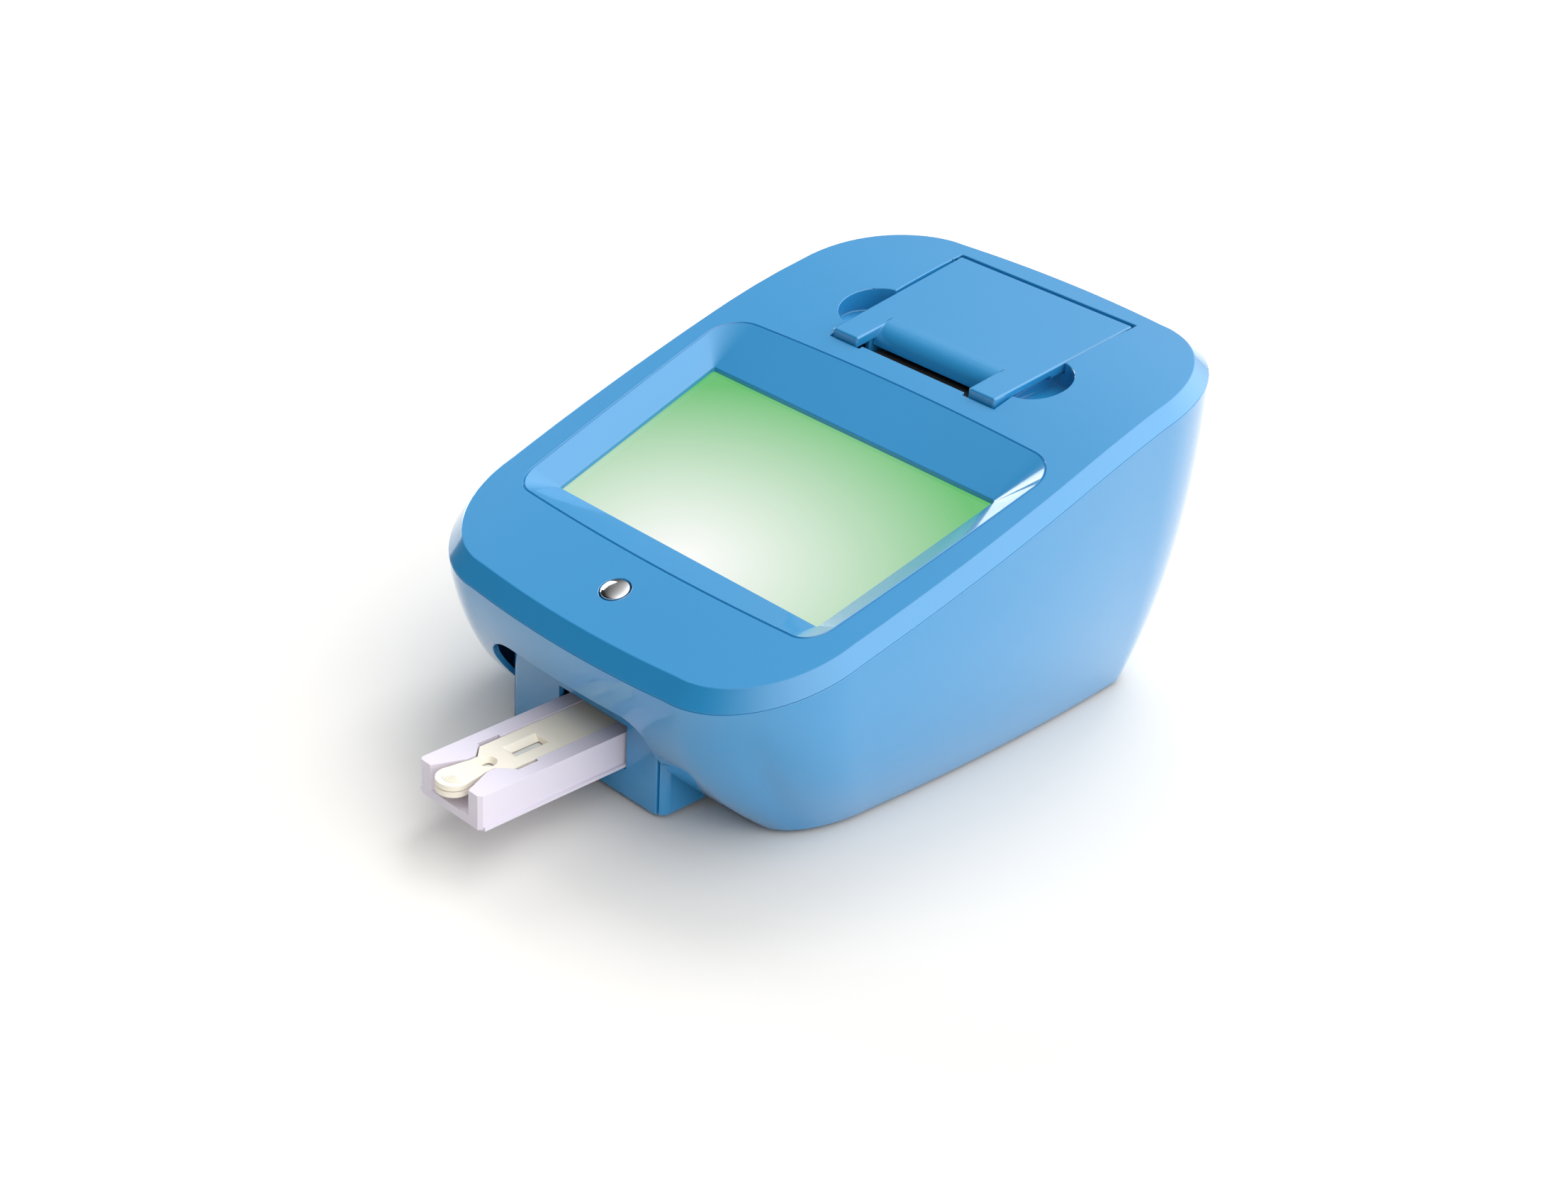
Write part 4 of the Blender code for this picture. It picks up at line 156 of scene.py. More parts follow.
# An outline in plan: its ends, its half widths there, how far its corners reach in X and Y,
# and how far its front, back and sides bow out.
face_size = {
    "front": body_front + rim_front,
    "back": body_front + body_length - rim_back,
    "front_half": 92.3 * mm,
    "back_half": 93.4 * mm,
    "front_corner": (39.7 * mm, 46.2 * mm),
    "back_corner": (41.6 * mm, 52.0 * mm),
    "bows": (2.5 * mm, 2.8 * mm, 2.9 * mm),
}
base_size = {
    "front": body_front + base_inset,
    "back": body_front + base_back,
    "front_half": 82.6 * mm,
    "back_half": 81.9 * mm,
    "front_corner": (18.5 * mm, 38.4 * mm),
    "back_corner": (22.9 * mm, 16.8 * mm),
    "bows": (1.0 * mm, 1.4 * mm, 2.4 * mm),
}
# How late the wall tucks in, by the angle that it faces: -90 is the front and 90 the back.
tuck_powers = ((-90, 2.12), (-45, 1.38), (0, 2.76), (45, 2.38), (90, 2.0))
# Points along half of an outline, and rings down the wall.
edge_steps, corner_steps, side_steps, wall_rings = 8, 18, 12, 22
arch_left, arch_right, arch_top = -50.2 * mm, 38.7 * mm, base_level + 43.7 * mm
arch_left_corner, arch_right_corner = (19.0 * mm, 17.0 * mm), (10.5 * mm, 8.5 * mm)
notch_reach, notch_outer_top, notch_inner_top = 7.0 * mm, 11.0 * mm, 20.0 * mm
recess_half, recess_face = 44.0 * mm, body_front + 241.5 * mm
recess_z = (base_level + 11.0 * mm, base_level + 43.0 * mm)
post_half, post_distances = 72.0 * mm, (66.0 * mm, 216.0 * mm)
post_radius, post_height = 4.5 * mm, 14.0 * mm
bore_radius, bore_depth = 1.7 * mm, 11.0 * mm
web_inset, web_end, web_thickness = 2.0 * mm, 81.0 * mm, 3.0 * mm


def moulded_plastic(name, colour, second_colour, roughness, grain, bump, coat=0.0):
    """Moulded plastic, rubber or paper: a faint flow of colour and a fine grain."""
    material = bpy.data.materials.new(name)
    material.use_nodes = True
    nodes, links = material.node_tree.nodes, material.node_tree.links
    shader = nodes["Principled BSDF"]
    place = nodes.new("ShaderNodeTexCoord")
    flow = nodes.new("ShaderNodeTexNoise")
    flow.inputs["Scale"].default_value = 14.0
    flow.inputs["Detail"].default_value = 3.0
    blend = nodes.new("ShaderNodeMix")
    blend.data_type = "RGBA"
    blend.inputs["A"].default_value = colour
    blend.inputs["B"].default_value = second_colour
    links.new(place.outputs["Object"], flow.inputs["Vector"])
    links.new(flow.outputs["Fac"], blend.inputs["Factor"])
    links.new(blend.outputs["Result"], shader.inputs["Base Color"])
    fine = nodes.new("ShaderNodeTexNoise")
    fine.inputs["Scale"].default_value = grain
    fine.inputs["Detail"].default_value = 2.0
    links.new(place.outputs["Object"], fine.inputs["Vector"])
    spread = nodes.new("ShaderNodeMapRange")
    spread.inputs["To Min"].default_value = roughness * 0.85
    spread.inputs["To Max"].default_value = roughness * 1.2
    links.new(fine.outputs["Fac"], spread.inputs["Value"])
    links.new(spread.outputs["Result"], shader.inputs["Roughness"])
    relief = nodes.new("ShaderNodeBump")
    relief.inputs["Strength"].default_value = bump
    relief.inputs["Distance"].default_value = grain_depth
    links.new(fine.outputs["Fac"], relief.inputs["Height"])
    links.new(relief.outputs["Normal"], shader.inputs["Normal"])
    shader.inputs["Coat Weight"].default_value = coat
    shader.inputs["Coat Roughness"].default_value = 0.06
    shader.inputs["Coat IOR"].default_value = 1.55
    return material


gloss_blue = moulded_plastic(
    "gloss_blue", shell_blue, shell_blue_deep, roughness=0.22, grain=900.0, bump=0.03, coat=1.0
)


def round_edges(piece, radius, crisp, limited=True):
    """Rounds the edges that turn by more than crisp degrees, and keeps the faces flat."""
    edges = piece.modifiers.new("edges", "BEVEL")
    edges.width = radius
    edges.segments = 3
    edges.limit_method = "ANGLE"
    edges.angle_limit = math.radians(crisp)
    edges.use_clamp_overlap = limited
    edges.harden_normals = True


def stands_for(piece, node, body):
    """Puts a piece in the place of a node and on its body."""
    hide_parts(node)
    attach(piece, body)


def from_front(distance):
    """Y of a distance behind the front crease."""
    return body_front + distance


def half_outline(front, back, front_half, back_half, front_corner, back_corner, bows):
    """The right half of a shell's outline in plan, from the front middle to the back middle."""
    front_bow, back_bow, side_bow = bows
    points = []
    straight = front_half - front_corner[0]
    for step in range(edge_steps):
        share = step / edge_steps
        points.append((straight * share, front + front_bow * share**2))
    corner_y = front + front_bow + front_corner[1]
    for step in range(corner_steps + 1):
        angle = math.pi / 2 * step / corner_steps
        x = straight + front_corner[0] * math.sin(angle)
        points.append((x, corner_y - front_corner[1] * math.cos(angle)))
    back_y = back - back_bow - back_corner[1]
    for step in range(1, side_steps):
        share = step / side_steps
        width = front_half + (back_half - front_half) * share + side_bow * 4 * share * (1 - share)
        points.append((width, corner_y + (back_y - corner_y) * share))
    straight = back_half - back_corner[0]
    for step in range(corner_steps + 1):
        angle = math.pi / 2 * step / corner_steps
        x = straight + back_corner[0] * math.cos(angle)
        points.append((x, back_y + back_corner[1] * math.sin(angle)))
    for step in range(1, edge_steps + 1):
        share = 1 - step / edge_steps
        points.append((straight * share, back - back_bow * share**2))
    return points


def outline_of(size):
    """Both halves of an outline as one ring that starts at the front middle."""
    half = half_outline(**size)
    return half + [(-x, y) for x, y in half[-2:0:-1]]


def grown(size, front_by, side_by, back_by):
    """An outline's sizes, moved outwards at the front, the sides and the back."""
    front_corner, back_corner = size["front_corner"], size["back_corner"]
    return dict(
        size,
        front=size["front"] - front_by,
        back=size["back"] + back_by,
        front_half=size["front_half"] + side_by,
        back_half=size["back_half"] + side_by,
        front_corner=(front_corner[0] + side_by, front_corner[1] + front_by),
        back_corner=(back_corner[0] + side_by, back_corner[1] + back_by),
    )


crease_size = grown(face_size, rim_front, rim_side, rim_back)


def face_plane(y):
    """Height of the flat front part of the top, carried on to any Y."""
    return base_level + front_height + face_slope * (y - body_front)


def top_height(y):
    """Height of the crowned top face."""
    crown_front = from_front(crown_start)
    past = min(max(y - crown_front, 0), crown_length)
    beyond = max(y - crown_front - crown_length, 0)
    bend = (face_slope - back_slope) * past**2 / (2 * crown_length)
    return face_plane(min(y, crown_front)) + face_slope * past - bend + back_slope * beyond


def tuck_power(normal_x, normal_y):
    """Power of the side wall's curve for the way that the wall faces."""
    angle = math.degrees(math.atan2(normal_y, abs(normal_x)))
    for (low, low_power), (high, high_power) in zip(tuck_powers, tuck_powers[1:]):
        if angle <= high:
            return low_power + (high_power - low_power) * (angle - low) / (high - low)
    return tuck_powers[-1][1]


def wall_rings_at(inward, top_gap, count):
    """Rings of the side wall from the crease down to the base, moved inward by a wall."""
    upper = outline_of(grown(crease_size, -inward, -inward, -inward))
    lower = outline_of(grown(base_size, -inward, -inward, -inward))
    powers = []
    for before, after in zip(upper[-1:] + upper[:-1], upper[1:] + upper[:1]):
        powers.append(tuck_power(after[1] - before[1], before[0] - after[0]))
    rings = []
    for step in range(count):
        share = step / (count - 1)
        ring = []
        for (ux, uy), (lx, ly), power in zip(upper, lower, powers):
            tuck = share**power
            top = top_height(uy) - rim_drop - top_gap
            ring.append((ux + (lx - ux) * tuck, uy + (ly - uy) * tuck, top + (base_level - top) * share))
        rings.append(ring)
    return rings


def ring_of_edges(bm, points):
    """A closed ring of edges through some points."""
    corners = [bm.verts.new(point) for point in points]
    return [bm.edges.new(pair) for pair in zip(corners, corners[1:] + corners[:1])]


def solid(name, bm):
    """A scene object from a mesh whose faces are turned outwards."""
    bmesh.ops.recalc_face_normals(bm, faces=bm.faces)
    if bm.calc_volume(signed=True) < 0:
        bmesh.ops.reverse_faces(bm, faces=bm.faces)
    mesh = bpy.data.meshes.new(name)
    bm.to_mesh(mesh)
    bm.free()
    piece = bpy.data.objects.new(name, mesh)
    bpy.context.scene.collection.objects.link(piece)
    return piece


def lofted(name, rings, hollow=False):
    """A solid through rings of points: capped at its ends, or closed round on itself."""
    bm = bmesh.new()
    loops = [ring_of_edges(bm, ring) for ring in rings]
    for first, second in zip(loops, loops[1:] + loops[:1] if hollow else loops[1:]):
        bmesh.ops.bridge_loops(bm, edges=first + second)
    if not hollow:
        for loop in (loops[0], loops[-1]):
            bmesh.ops.edgeloop_fill(bm, edges=loop)
    return solid(name, bm)


def block(name, x, y, z):
    """A box between two values each of X, Y and Z."""
    corners = [(x[0], y[0]), (x[1], y[0]), (x[1], y[1]), (x[0], y[1])]
    return lofted(name, [[(*corner, height) for corner in corners] for height in z])


def rod(name, start, end, radius, sides=48):
    """A round bar between two points."""
    run = Vector(end) - Vector(start)
    bm = bmesh.new()
    bmesh.ops.create_cone(
        bm, cap_ends=True, segments=sides, radius1=radius, radius2=radius, depth=run.length
    )
    turn = run.to_track_quat("Z", "Y").to_matrix().to_4x4()
    middle = Matrix.Translation((Vector(start) + Vector(end)) / 2)
    bmesh.ops.transform(bm, matrix=middle @ turn, verts=bm.verts)
    return solid(name, bm)


def arc(centre, reach, start, end, steps):
    """Points on part of an oval, angles in degrees."""
    angles = [math.radians(start + (end - start) * step / steps) for step in range(steps + 1)]
    return [(centre[0] + reach[0] * math.cos(a), centre[1] + reach[1] * math.sin(a)) for a in angles]


def carved(piece, joins, cuts):
    """Joins some solids to a piece and cuts others from it, and throws the tools away."""
    tools = [(tool, "UNION") for tool in joins] + [(tool, "DIFFERENCE") for tool in cuts]
    for tool, operation in tools:
        step = piece.modifiers.new(operation.lower(), "BOOLEAN")
        step.operation, step.solver, step.object = operation, "EXACT", tool
    graph = bpy.context.evaluated_depsgraph_get()
    mesh = bpy.data.meshes.new_from_object(piece.evaluated_get(graph))
    piece.modifiers.clear()
    piece.data = mesh
    for tool, _ in tools:
        bpy.data.objects.remove(tool, do_unlink=True)
    return piece


def coloured(piece, material, crisp):
    """Gives a piece its one material, smooth but for the edges past crisp degrees."""
    piece.data.materials.clear()
    piece.data.materials.append(material)
    piece.data.shade_smooth()
    piece.data.set_sharp_from_angle(angle=math.radians(crisp))


def dressed(piece, material, crisp, radius):
    """Gives a carved piece its material, its smooth curves and its rounded edges."""
    coloured(piece, material, crisp)
    round_edges(piece, radius, crisp, limited=False)
    return piece


outer_rings = wall_rings_at(0.0, seam, wall_rings)
inner_rings = wall_rings_at(shell_wall, seam, wall_rings // 2)
side_wall = lofted("side_wall", outer_rings + inner_rings[::-1], hollow=True)
reach, drop = arch_right_corner
arch_outline = [(arch_right, base_level - overrun)]
arch_outline += arc((arch_right - reach, arch_top - drop), arch_right_corner, 0, 90, steps=16)
reach, drop = arch_left_corner
arch_outline += arc((arch_left + reach, arch_top - drop), arch_left_corner, 90, 180, steps=24)
arch_outline += [(arch_left, base_level - overrun)]
arch_ends = (from_front(-overrun), from_front(base_inset + shell_wall + overrun))
cuts = [lofted("arch_cutter", [[(x, y, z) for x, z in arch_outline] for y in arch_ends])]
for side, edge in ((-1, arch_left), (1, arch_right)):
    inside = edge - side * shell_wall
    notch = [(inside, -shell_wall), (edge + side * shell_wall, -shell_wall)]
    notch += [(edge + side * notch_reach, notch_outer_top), (inside, notch_inner_top)]
    ends = (from_front(overrun), from_front(base_inset + overrun))
    cuts.append(lofted("notch_cutter", [[(x, y, base_level + z) for x, z in notch] for y in ends]))
bay_y = (recess_face - shell_wall - overrun, from_front(body_length + overrun))
bay_x = (-recess_half - fit, recess_half + fit)
cuts.append(block("bay_cutter", bay_x, bay_y, (recess_z[0] - fit, recess_z[1] + fit)))
posts = []
post_foot = base_level + shell_wall + fit
post_z = (post_foot, post_foot + post_height)
for distance in post_distances:
    for side in (-1, 1):
        x, y = side * post_half, from_front(distance)
        posts.append(rod("screw_post", (x, y, post_z[0]), (x, y, post_z[1]), post_radius))
        web_x = sorted((x + side * web_inset, side * web_end))
        web_y = (y - web_thickness / 2, y + web_thickness / 2)
        posts.append(block("post_web", web_x, web_y, post_z))
        cuts.append(rod("post_bore", (x, y, 0.0), (x, y, post_foot + bore_depth), bore_radius))
carved(side_wall, posts, cuts)
dressed(side_wall, gloss_blue, crisp=25, radius=wall_edge)
stands_for(side_wall, "main_housing", "housing")

# Top cover.
# The upper shell is a second moulding: a sloping crowned face with a chamfered rim, a sunken
# frame round the screen, the printer's bay with two finger scoops, and the button's hole.
cover_wall, cover_edge, cover_crisp = 2.5 * mm, 0.35 * mm, 12
face_tilt = math.atan(face_slope)
face_normal = Vector((0, -math.sin(face_tilt), math.cos(face_tilt)))
well_depth, well_wall, well_form_share = 6.5 * mm, 2.0 * mm, 0.9
groove_half, groove_depth, groove_rise = 0.4 * mm, 0.7 * mm, 0.1 * mm
well_size = {
    "front": from_front(43.0 * mm),
    "back": from_front(166.0 * mm),
    "front_half": 80.2 * mm,
    "back_half": 86.6 * mm,
    "front_corner": (10.0 * mm, 12.0 * mm),
    "back_corner": (14.0 * mm, 14.0 * mm),
    "bows": (2.0 * mm, 2.0 * mm, 0.5 * mm),
}
window_size = {
    "front": from_front(58.9 * mm),
    "back": from_front(142.9 * mm),
    "front_half": 69.5 * mm,
    "back_half": 74.8 * mm,
    "front_corner": (0.8 * mm, 0.8 * mm),
    "back_corner": (0.8 * mm, 0.8 * mm),
    "bows": (0.0, 0.0, 0.0),
}
door_front, door_back = from_front(176.2 * mm), from_front(252.9 * mm)
door_front_half, door_back_half, door_thickness = 42.7 * mm, 45.2 * mm, 4.5 * mm
door_front_proud, door_gap, door_back_gap = 3.0 * mm, 0.8 * mm, 1.4 * mm
hinge_inset, pin_radius, pin_reach = 2.0 * mm, 1.1 * mm, 4.0 * mm
collar_front, collar_back = from_front(172.5 * mm), from_front(258.5 * mm)
collar_half, collar_low, collar_steps = 50.5 * mm, 109.983 * mm, 24
opening_half, opening_back = 39.5 * mm, 134.0 * mm
ledge_half, ledge_depth = 27.2 * mm, 1.6 * mm
scoop_y, scoop_middle, scoop_inside = from_front(199.6 * mm), 42.8 * mm, 41.2 * mm
scoop_radius, scoop_depth, cup_wall = 14.3 * mm, 8.0 * mm, 1.6 * mm
button_y, button_radius, button_gap = from_front(25.9 * mm), 5.5 * mm, 0.6 * mm
switch_drop, switch_half, switch_post_radius = 9.5 * mm, 9.6 * mm, 1.6 * mm


def on_face(outline, drop):
    """An outline laid parallel to the sloping face, below it by a drop."""
    return [(x, y, face_plane(y) - drop) for x, y in outline]


def between(inner, outer, share):
    """An outline that lies between two others, by a share of the way out."""
    pairs = zip(inner, outer)
    return [(ix + (ox - ix) * share, iy + (oy - iy) * share) for (ix, iy), (ox, oy) in pairs]


def door_plane(y):
    """Height of the printer door's top."""
    low, high = top_height(door_front) + door_front_proud, top_height(door_back)
    return low + (high - low) * (y - door_front) / (door_back - door_front)


def upright(name, outline, low, high):
    """A solid over a flat outline, between two heights that follow Y."""
    rings = [[(x, y, level(y)) for x, y in outline] for level in (low, high)]
    return lofted(name, rings)


def cover_form():
    """The cover before its cuts: the crowned face, its rim and the same again inside."""
    low_crease = outline_of(grown(crease_size, -shell_wall, -shell_wall, -shell_wall))
    low_face = outline_of(grown(face_size, -shell_wall, -shell_wall, -shell_wall))
    rings = [
        [(x, y, top_height(y)) for x, y in outline_of(face_size)],
        [(x, y, top_height(y) - rim_drop) for x, y in outline_of(crease_size)],
        [(x, y, top_height(y) - rim_drop) for x, y in low_crease],
        [(x, y, top_height(y) - cover_wall) for x, y in low_face],
    ]
    bm = bmesh.new()
    loops = [ring_of_edges(bm, ring) for ring in rings]
    for first, second in zip(loops, loops[1:]):
        bmesh.ops.bridge_loops(bm, edges=first + second)
    # The two faces are crowned, so strips from side to side close them, not one flat fill.
    count = len(rings[0])
    bm.verts.ensure_lookup_table()
    for start in (0, 3 * count):
        row = bm.verts[start : start + count]
        for step in range(count // 2):
            opposite, next_opposite = row[(count - step) % count], row[(count - step - 1) % count]
            bm.faces.new(dict.fromkeys((row[step], row[step + 1], next_opposite, opposite)))
    return solid("cover_shell", bm)


def collar_form():
    """The block under the face that the printer's bay is cut into."""
    rings = []
    for step in range(collar_steps + 1):
        y = collar_front + (collar_back - collar_front) * step / collar_steps
        heights = (collar_low, top_height(y) - cover_wall / 2)
        right = [(collar_half, y, height) for height in heights]
        rings.append(right + [(-x, y, height) for x, y, height in right[::-1]])
    return lofted("collar_form", rings)


def scoop_outline(side, grow):
    """A half disc beside the door, square on its inner side."""
    radius, inside = scoop_radius + grow, scoop_inside - grow
    reach = math.degrees(math.acos((inside - scoop_middle) / radius))
    points = arc((scoop_middle, scoop_y), (radius, radius), -reach, reach, steps=48)
    return [(side * x, y) for x, y in points]


def keep_crisp(piece, crisp, line, reach):
    """Keeps the rounding off the edges within reach of a closed line, too close for it."""
    bm = bmesh.new()
    bm.from_mesh(piece.data)
    weight = bm.edges.layers.float.new("bevel_weight_edge")
    near = set()
    corners = [Vector(point) for point in line]
    for vert in bm.verts:
        for a, b in zip(corners, corners[1:] + corners[:1]):
            share = min(max(intersect_point_line(vert.co, a, b)[1], 0.0), 1.0)
            if (vert.co - a.lerp(b, share)).length < reach:
                near.add(vert)
                break
    for edge in bm.edges:
        bent = edge.calc_face_angle(0.0) > math.radians(crisp)
        edge[weight] = float(bent and not near.issuperset(edge.verts))
    bm.to_mesh(piece.data)
    bm.free()
    piece.modifiers["edges"].limit_method = "WEIGHT"


window, well = outline_of(window_size), outline_of(well_size)
wider_window = outline_of(grown(window_size, 2 * well_wall, 2 * well_wall, 2 * well_wall))
well_form = lofted(
    "well_form",
    [
        on_face(wider_window, well_depth + well_wall),
        on_face(between(wider_window, well, well_form_share), cover_wall / 2),
    ],
)
well_cutter = lofted(
    "well_cutter",
    [
        on_face(window, well_depth + overrun),
        on_face(window, well_depth),
        on_face(between(window, well, 1 + cover_wall / well_depth), -cover_wall),
    ],
)
# A V groove round the frame. Its three rings lie too close for bridging, so it is closed
# round by quads.
groove_rings = [
    on_face(outline_of(grown(well_size, reach, reach, reach)), drop)
    for reach, drop in (
        (groove_half, groove_depth),
        (2 * groove_half + groove_rise, -groove_rise),
        (-groove_rise, -groove_rise),
    )
]
bm = bmesh.new()
rows = [[bm.verts.new(point) for point in ring] for ring in groove_rings]
for first, second in zip(rows, rows[1:] + rows[:1]):
    for step in range(len(first)):
        bm.faces.new((first[step - 1], first[step], second[step], second[step - 1]))
groove_cutter = solid("groove_cutter", bm)
scoop_floor = door_plane(scoop_y) - scoop_depth
cup_floor = scoop_floor - cup_wall
joins, cuts = [well_form, collar_form()], [well_cutter, groove_cutter]
for side in (-1, 1):
    cup, scoop = scoop_outline(side, cup_wall), scoop_outline(side, 0.0)
    joins.append(upright("scoop_cup", cup, lambda y: cup_floor, lambda y: top_height(y) - cover_wall / 2))
    cuts.append(upright("scoop_cutter", scoop, lambda y: scoop_floor, lambda y: top_height(y) + overrun))
rebate_front, rebate_back = door_front - door_gap, door_back + door_back_gap
rebate_depth, ledge_back = door_thickness + fit, rebate_front + ledge_depth
rebate = [(door_front_half + door_gap, rebate_front), (door_back_half + door_gap, rebate_back)]
rebate += [(-x, y) for x, y in rebate[::-1]]
rebate += [(-ledge_half, rebate_front), (-ledge_half, ledge_back)]
rebate += [(ledge_half, ledge_back), (ledge_half, rebate_front)]
cuts.append(
    upright(
        "door_rebate",
        rebate,
        lambda y: door_plane(y) - rebate_depth,
        lambda y: door_plane(y) + overrun,
    )
)
opening_z = (collar_low - overrun, door_plane(opening_back) + overrun)
cuts.append(block("bay_opening", (-opening_half, opening_half), (ledge_back, opening_back), opening_z))
hinge_y = door_back - hinge_inset
hinge_z = door_plane(hinge_y) - door_thickness / 2
sweep = math.hypot(hinge_inset, door_thickness / 2) + fit
for name, half, radius in (
    ("hinge_groove", door_back_half + door_gap, sweep),
    ("hinge_hole", door_back_half + pin_reach + fit, pin_radius + fit),
):
    cuts.append(rod(name, (-half, hinge_y, hinge_z), (half, hinge_y, hinge_z), radius, sides=72))
button_place = Vector((0, button_y, face_plane(button_y)))
hole_low = button_place - face_normal * cover_wall * 2
hole_high = button_place + face_normal * overrun
cuts.append(rod("button_hole", hole_low, hole_high, button_radius + button_gap, sides=64))
for side in (-1, 1):
    foot = button_place - face_normal * (switch_drop - fit) + Vector((side * switch_half, 0, 0))
    head = foot + face_normal * (switch_drop - cover_wall / 2)
    joins.append(rod("switch_post", foot, head, switch_post_radius))
cover_shell = carved(cover_form(), joins, cuts)
dressed(cover_shell, gloss_blue, cover_crisp, cover_edge)
keep_crisp(cover_shell, cover_crisp, groove_rings[0], 3 * groove_half)
stands_for(cover_shell, "top_cover", "housing")

# Printer door.
# A thick flat moulding that swings up on two pins at the back. Between its two legs it
# rolls down into a paper ramp, and two cheeks under the ramp carry the rubber platen.
leg_length, leg_inner_half = 20.3 * mm, 29.3 * mm
door_round, door_edge = 0.9 * mm, 0.2 * mm
ramp_front, ramp_drop, ramp_wall = 10.3 * mm, 8.5 * mm, 2.0 * mm
cheek_half, cheek_wall, cheek_radius = 30.6 * mm, 2.0 * mm, 4.0 * mm
platen_inset, platen_drop, axle_radius = 12.4 * mm, 14.6 * mm, 1.6 * mm
relief_span, relief_half, relief_depth = (9.6 * mm, 31.0 * mm), 40.6 * mm, 2.8 * mm


def sideways(name, outline, x):
    """A solid between two X values over an outline in YZ."""
    return lofted(name, [[(end, y, z) for y, z in outline] for end in x])


def ramp_outline():
    """The paper ramp from the side: a quarter oval down from the door's flat top."""
    back, tail = door_front + leg_length, door_front + leg_length + ramp_wall
    run, low = leg_length - ramp_front, door_plane(back) - ramp_drop
    outer = arc((back, low), (run, ramp_drop), 90, 180, steps=20)
    inner = arc((back, low), (run - ramp_wall, ramp_drop - ramp_wall), 180, 90, steps=20)
    return [(tail, door_plane(tail))] + outer + inner + [(tail, inner[-1][1])]


def door_piece():
    """The door with its ramp, its cheeks, its grip reliefs and the holes for pins and axle."""
    outline = [(door_front_half, door_front), (door_back_half, door_back)]
    outline += [(-x, y) for x, y in outline[::-1]]
    outline += [(-leg_inner_half, door_front), (-leg_inner_half, door_front + leg_length)]
    outline += [(leg_inner_half, door_front + leg_length), (leg_inner_half, door_front)]
    door = upright("paper_door", outline, lambda y: door_plane(y) - door_thickness, door_plane)
    round_edges(door, door_round, crisp=25)
    ramp_half = leg_inner_half + ramp_wall / 2
    joins, cuts = [sideways("paper_ramp", ramp_outline(), (-ramp_half, ramp_half))], []
    platen_y = door_front + platen_inset
    platen_z = door_plane(platen_y) - platen_drop
    cheek = arc((platen_y, platen_z), (cheek_radius, cheek_radius), 180, 360, steps=24)
    cheek_back = platen_y + leg_length
    cheek += [(cheek_back, door_plane(cheek_back) - door_thickness)]
    cheek += [(cheek_back, door_plane(cheek_back) - door_thickness / 2)]
    cheek += [(platen_y - cheek_radius, door_plane(platen_y) - door_thickness / 2)]
    relief_front, relief_back = (door_front + distance for distance in relief_span)
    for side in (-1, 1):
        ends = sorted((side * cheek_half, side * (cheek_half + cheek_wall)))
        joins.append(sideways("platen_cheek", cheek, ends))
        near, far = side * relief_half, side * (door_back_half + overrun)
        under = [(near, relief_front), (far, relief_front), (far, relief_back), (near, relief_back)]
        cuts.append(
            upright(
                "grip_relief",
                under,
                lambda y: door_plane(y) - overrun,
                lambda y: door_plane(y) - relief_depth,
            )
        )
        pin_start = (side * (door_back_half - pin_reach - fit), hinge_y, hinge_z)
        cuts.append(rod("pin_bore", pin_start, (far, hinge_y, hinge_z), pin_radius + fit))
    axle_end = cheek_half + cheek_wall + overrun
    axle_ends = [(x, platen_y, platen_z) for x in (-axle_end, axle_end)]
    cuts.append(rod("axle_hole", *axle_ends, axle_radius + fit))
    return carved(door, joins, cuts)


door = dressed(door_piece(), gloss_blue, crisp=30, radius=door_edge)
flat = door.modifiers.new("flat_faces", "WEIGHTED_NORMAL")
flat.keep_sharp = True
stands_for(door, "printer_door", "door")

# Tray bay and connector recess.
# Two smaller mouldings of the same blue: the flat box at the front that the tray runs out
# of, and the recess at the back that holds the connectors.
bezel_front, bezel_top = from_front(16.3 * mm), base_level + 42.0 * mm
bezel_left, bezel_right, bezel_wall = -47.2 * mm, 38.0 * mm, 2.2 * mm
slit_width, slit_inset, slit_depth = 0.9 * mm, 2.4 * mm, 1.8 * mm
weld_gap, flat_within, soft_edge = 0.002 * mm, math.radians(0.4), 0.2 * mm


def finished(node, name, material, body, radius=0.0, crisp=30, cuts=()):
    """A finished copy of a node: its faces joined up, some solids cut from it, its edges rounded."""
    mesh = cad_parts[node].data.copy()
    mesh.name = name
    bm = bmesh.new()
    bm.from_mesh(mesh)
    bmesh.ops.remove_doubles(bm, verts=bm.verts, dist=weld_gap)
    bmesh.ops.dissolve_limit(bm, angle_limit=flat_within, verts=bm.verts, edges=bm.edges)
    bm.to_mesh(mesh)
    bm.free()
    piece = bpy.data.objects.new(name, mesh)
    bpy.context.scene.collection.objects.link(piece)
    if cuts:
        carved(piece, [], cuts)
    coloured(piece, material, crisp)
    if radius:
        round_edges(piece, radius, crisp)
    stands_for(piece, node, body)


slits = [
    block(
        "bezel_slit",
        (x - slit_width / 2, x + slit_width / 2),
        (bezel_front - overrun, bezel_front + slit_depth),
        (base_level - overrun, bezel_top - bezel_wall),
    )
    for x in (bezel_left + slit_inset, bezel_right - slit_inset)
]
finished("tray_bay_bezel", "bay_bezel", gloss_blue, "housing", soft_edge, cuts=slits)
finished("rear_panel", "connector_recess", gloss_blue, "housing", soft_edge)

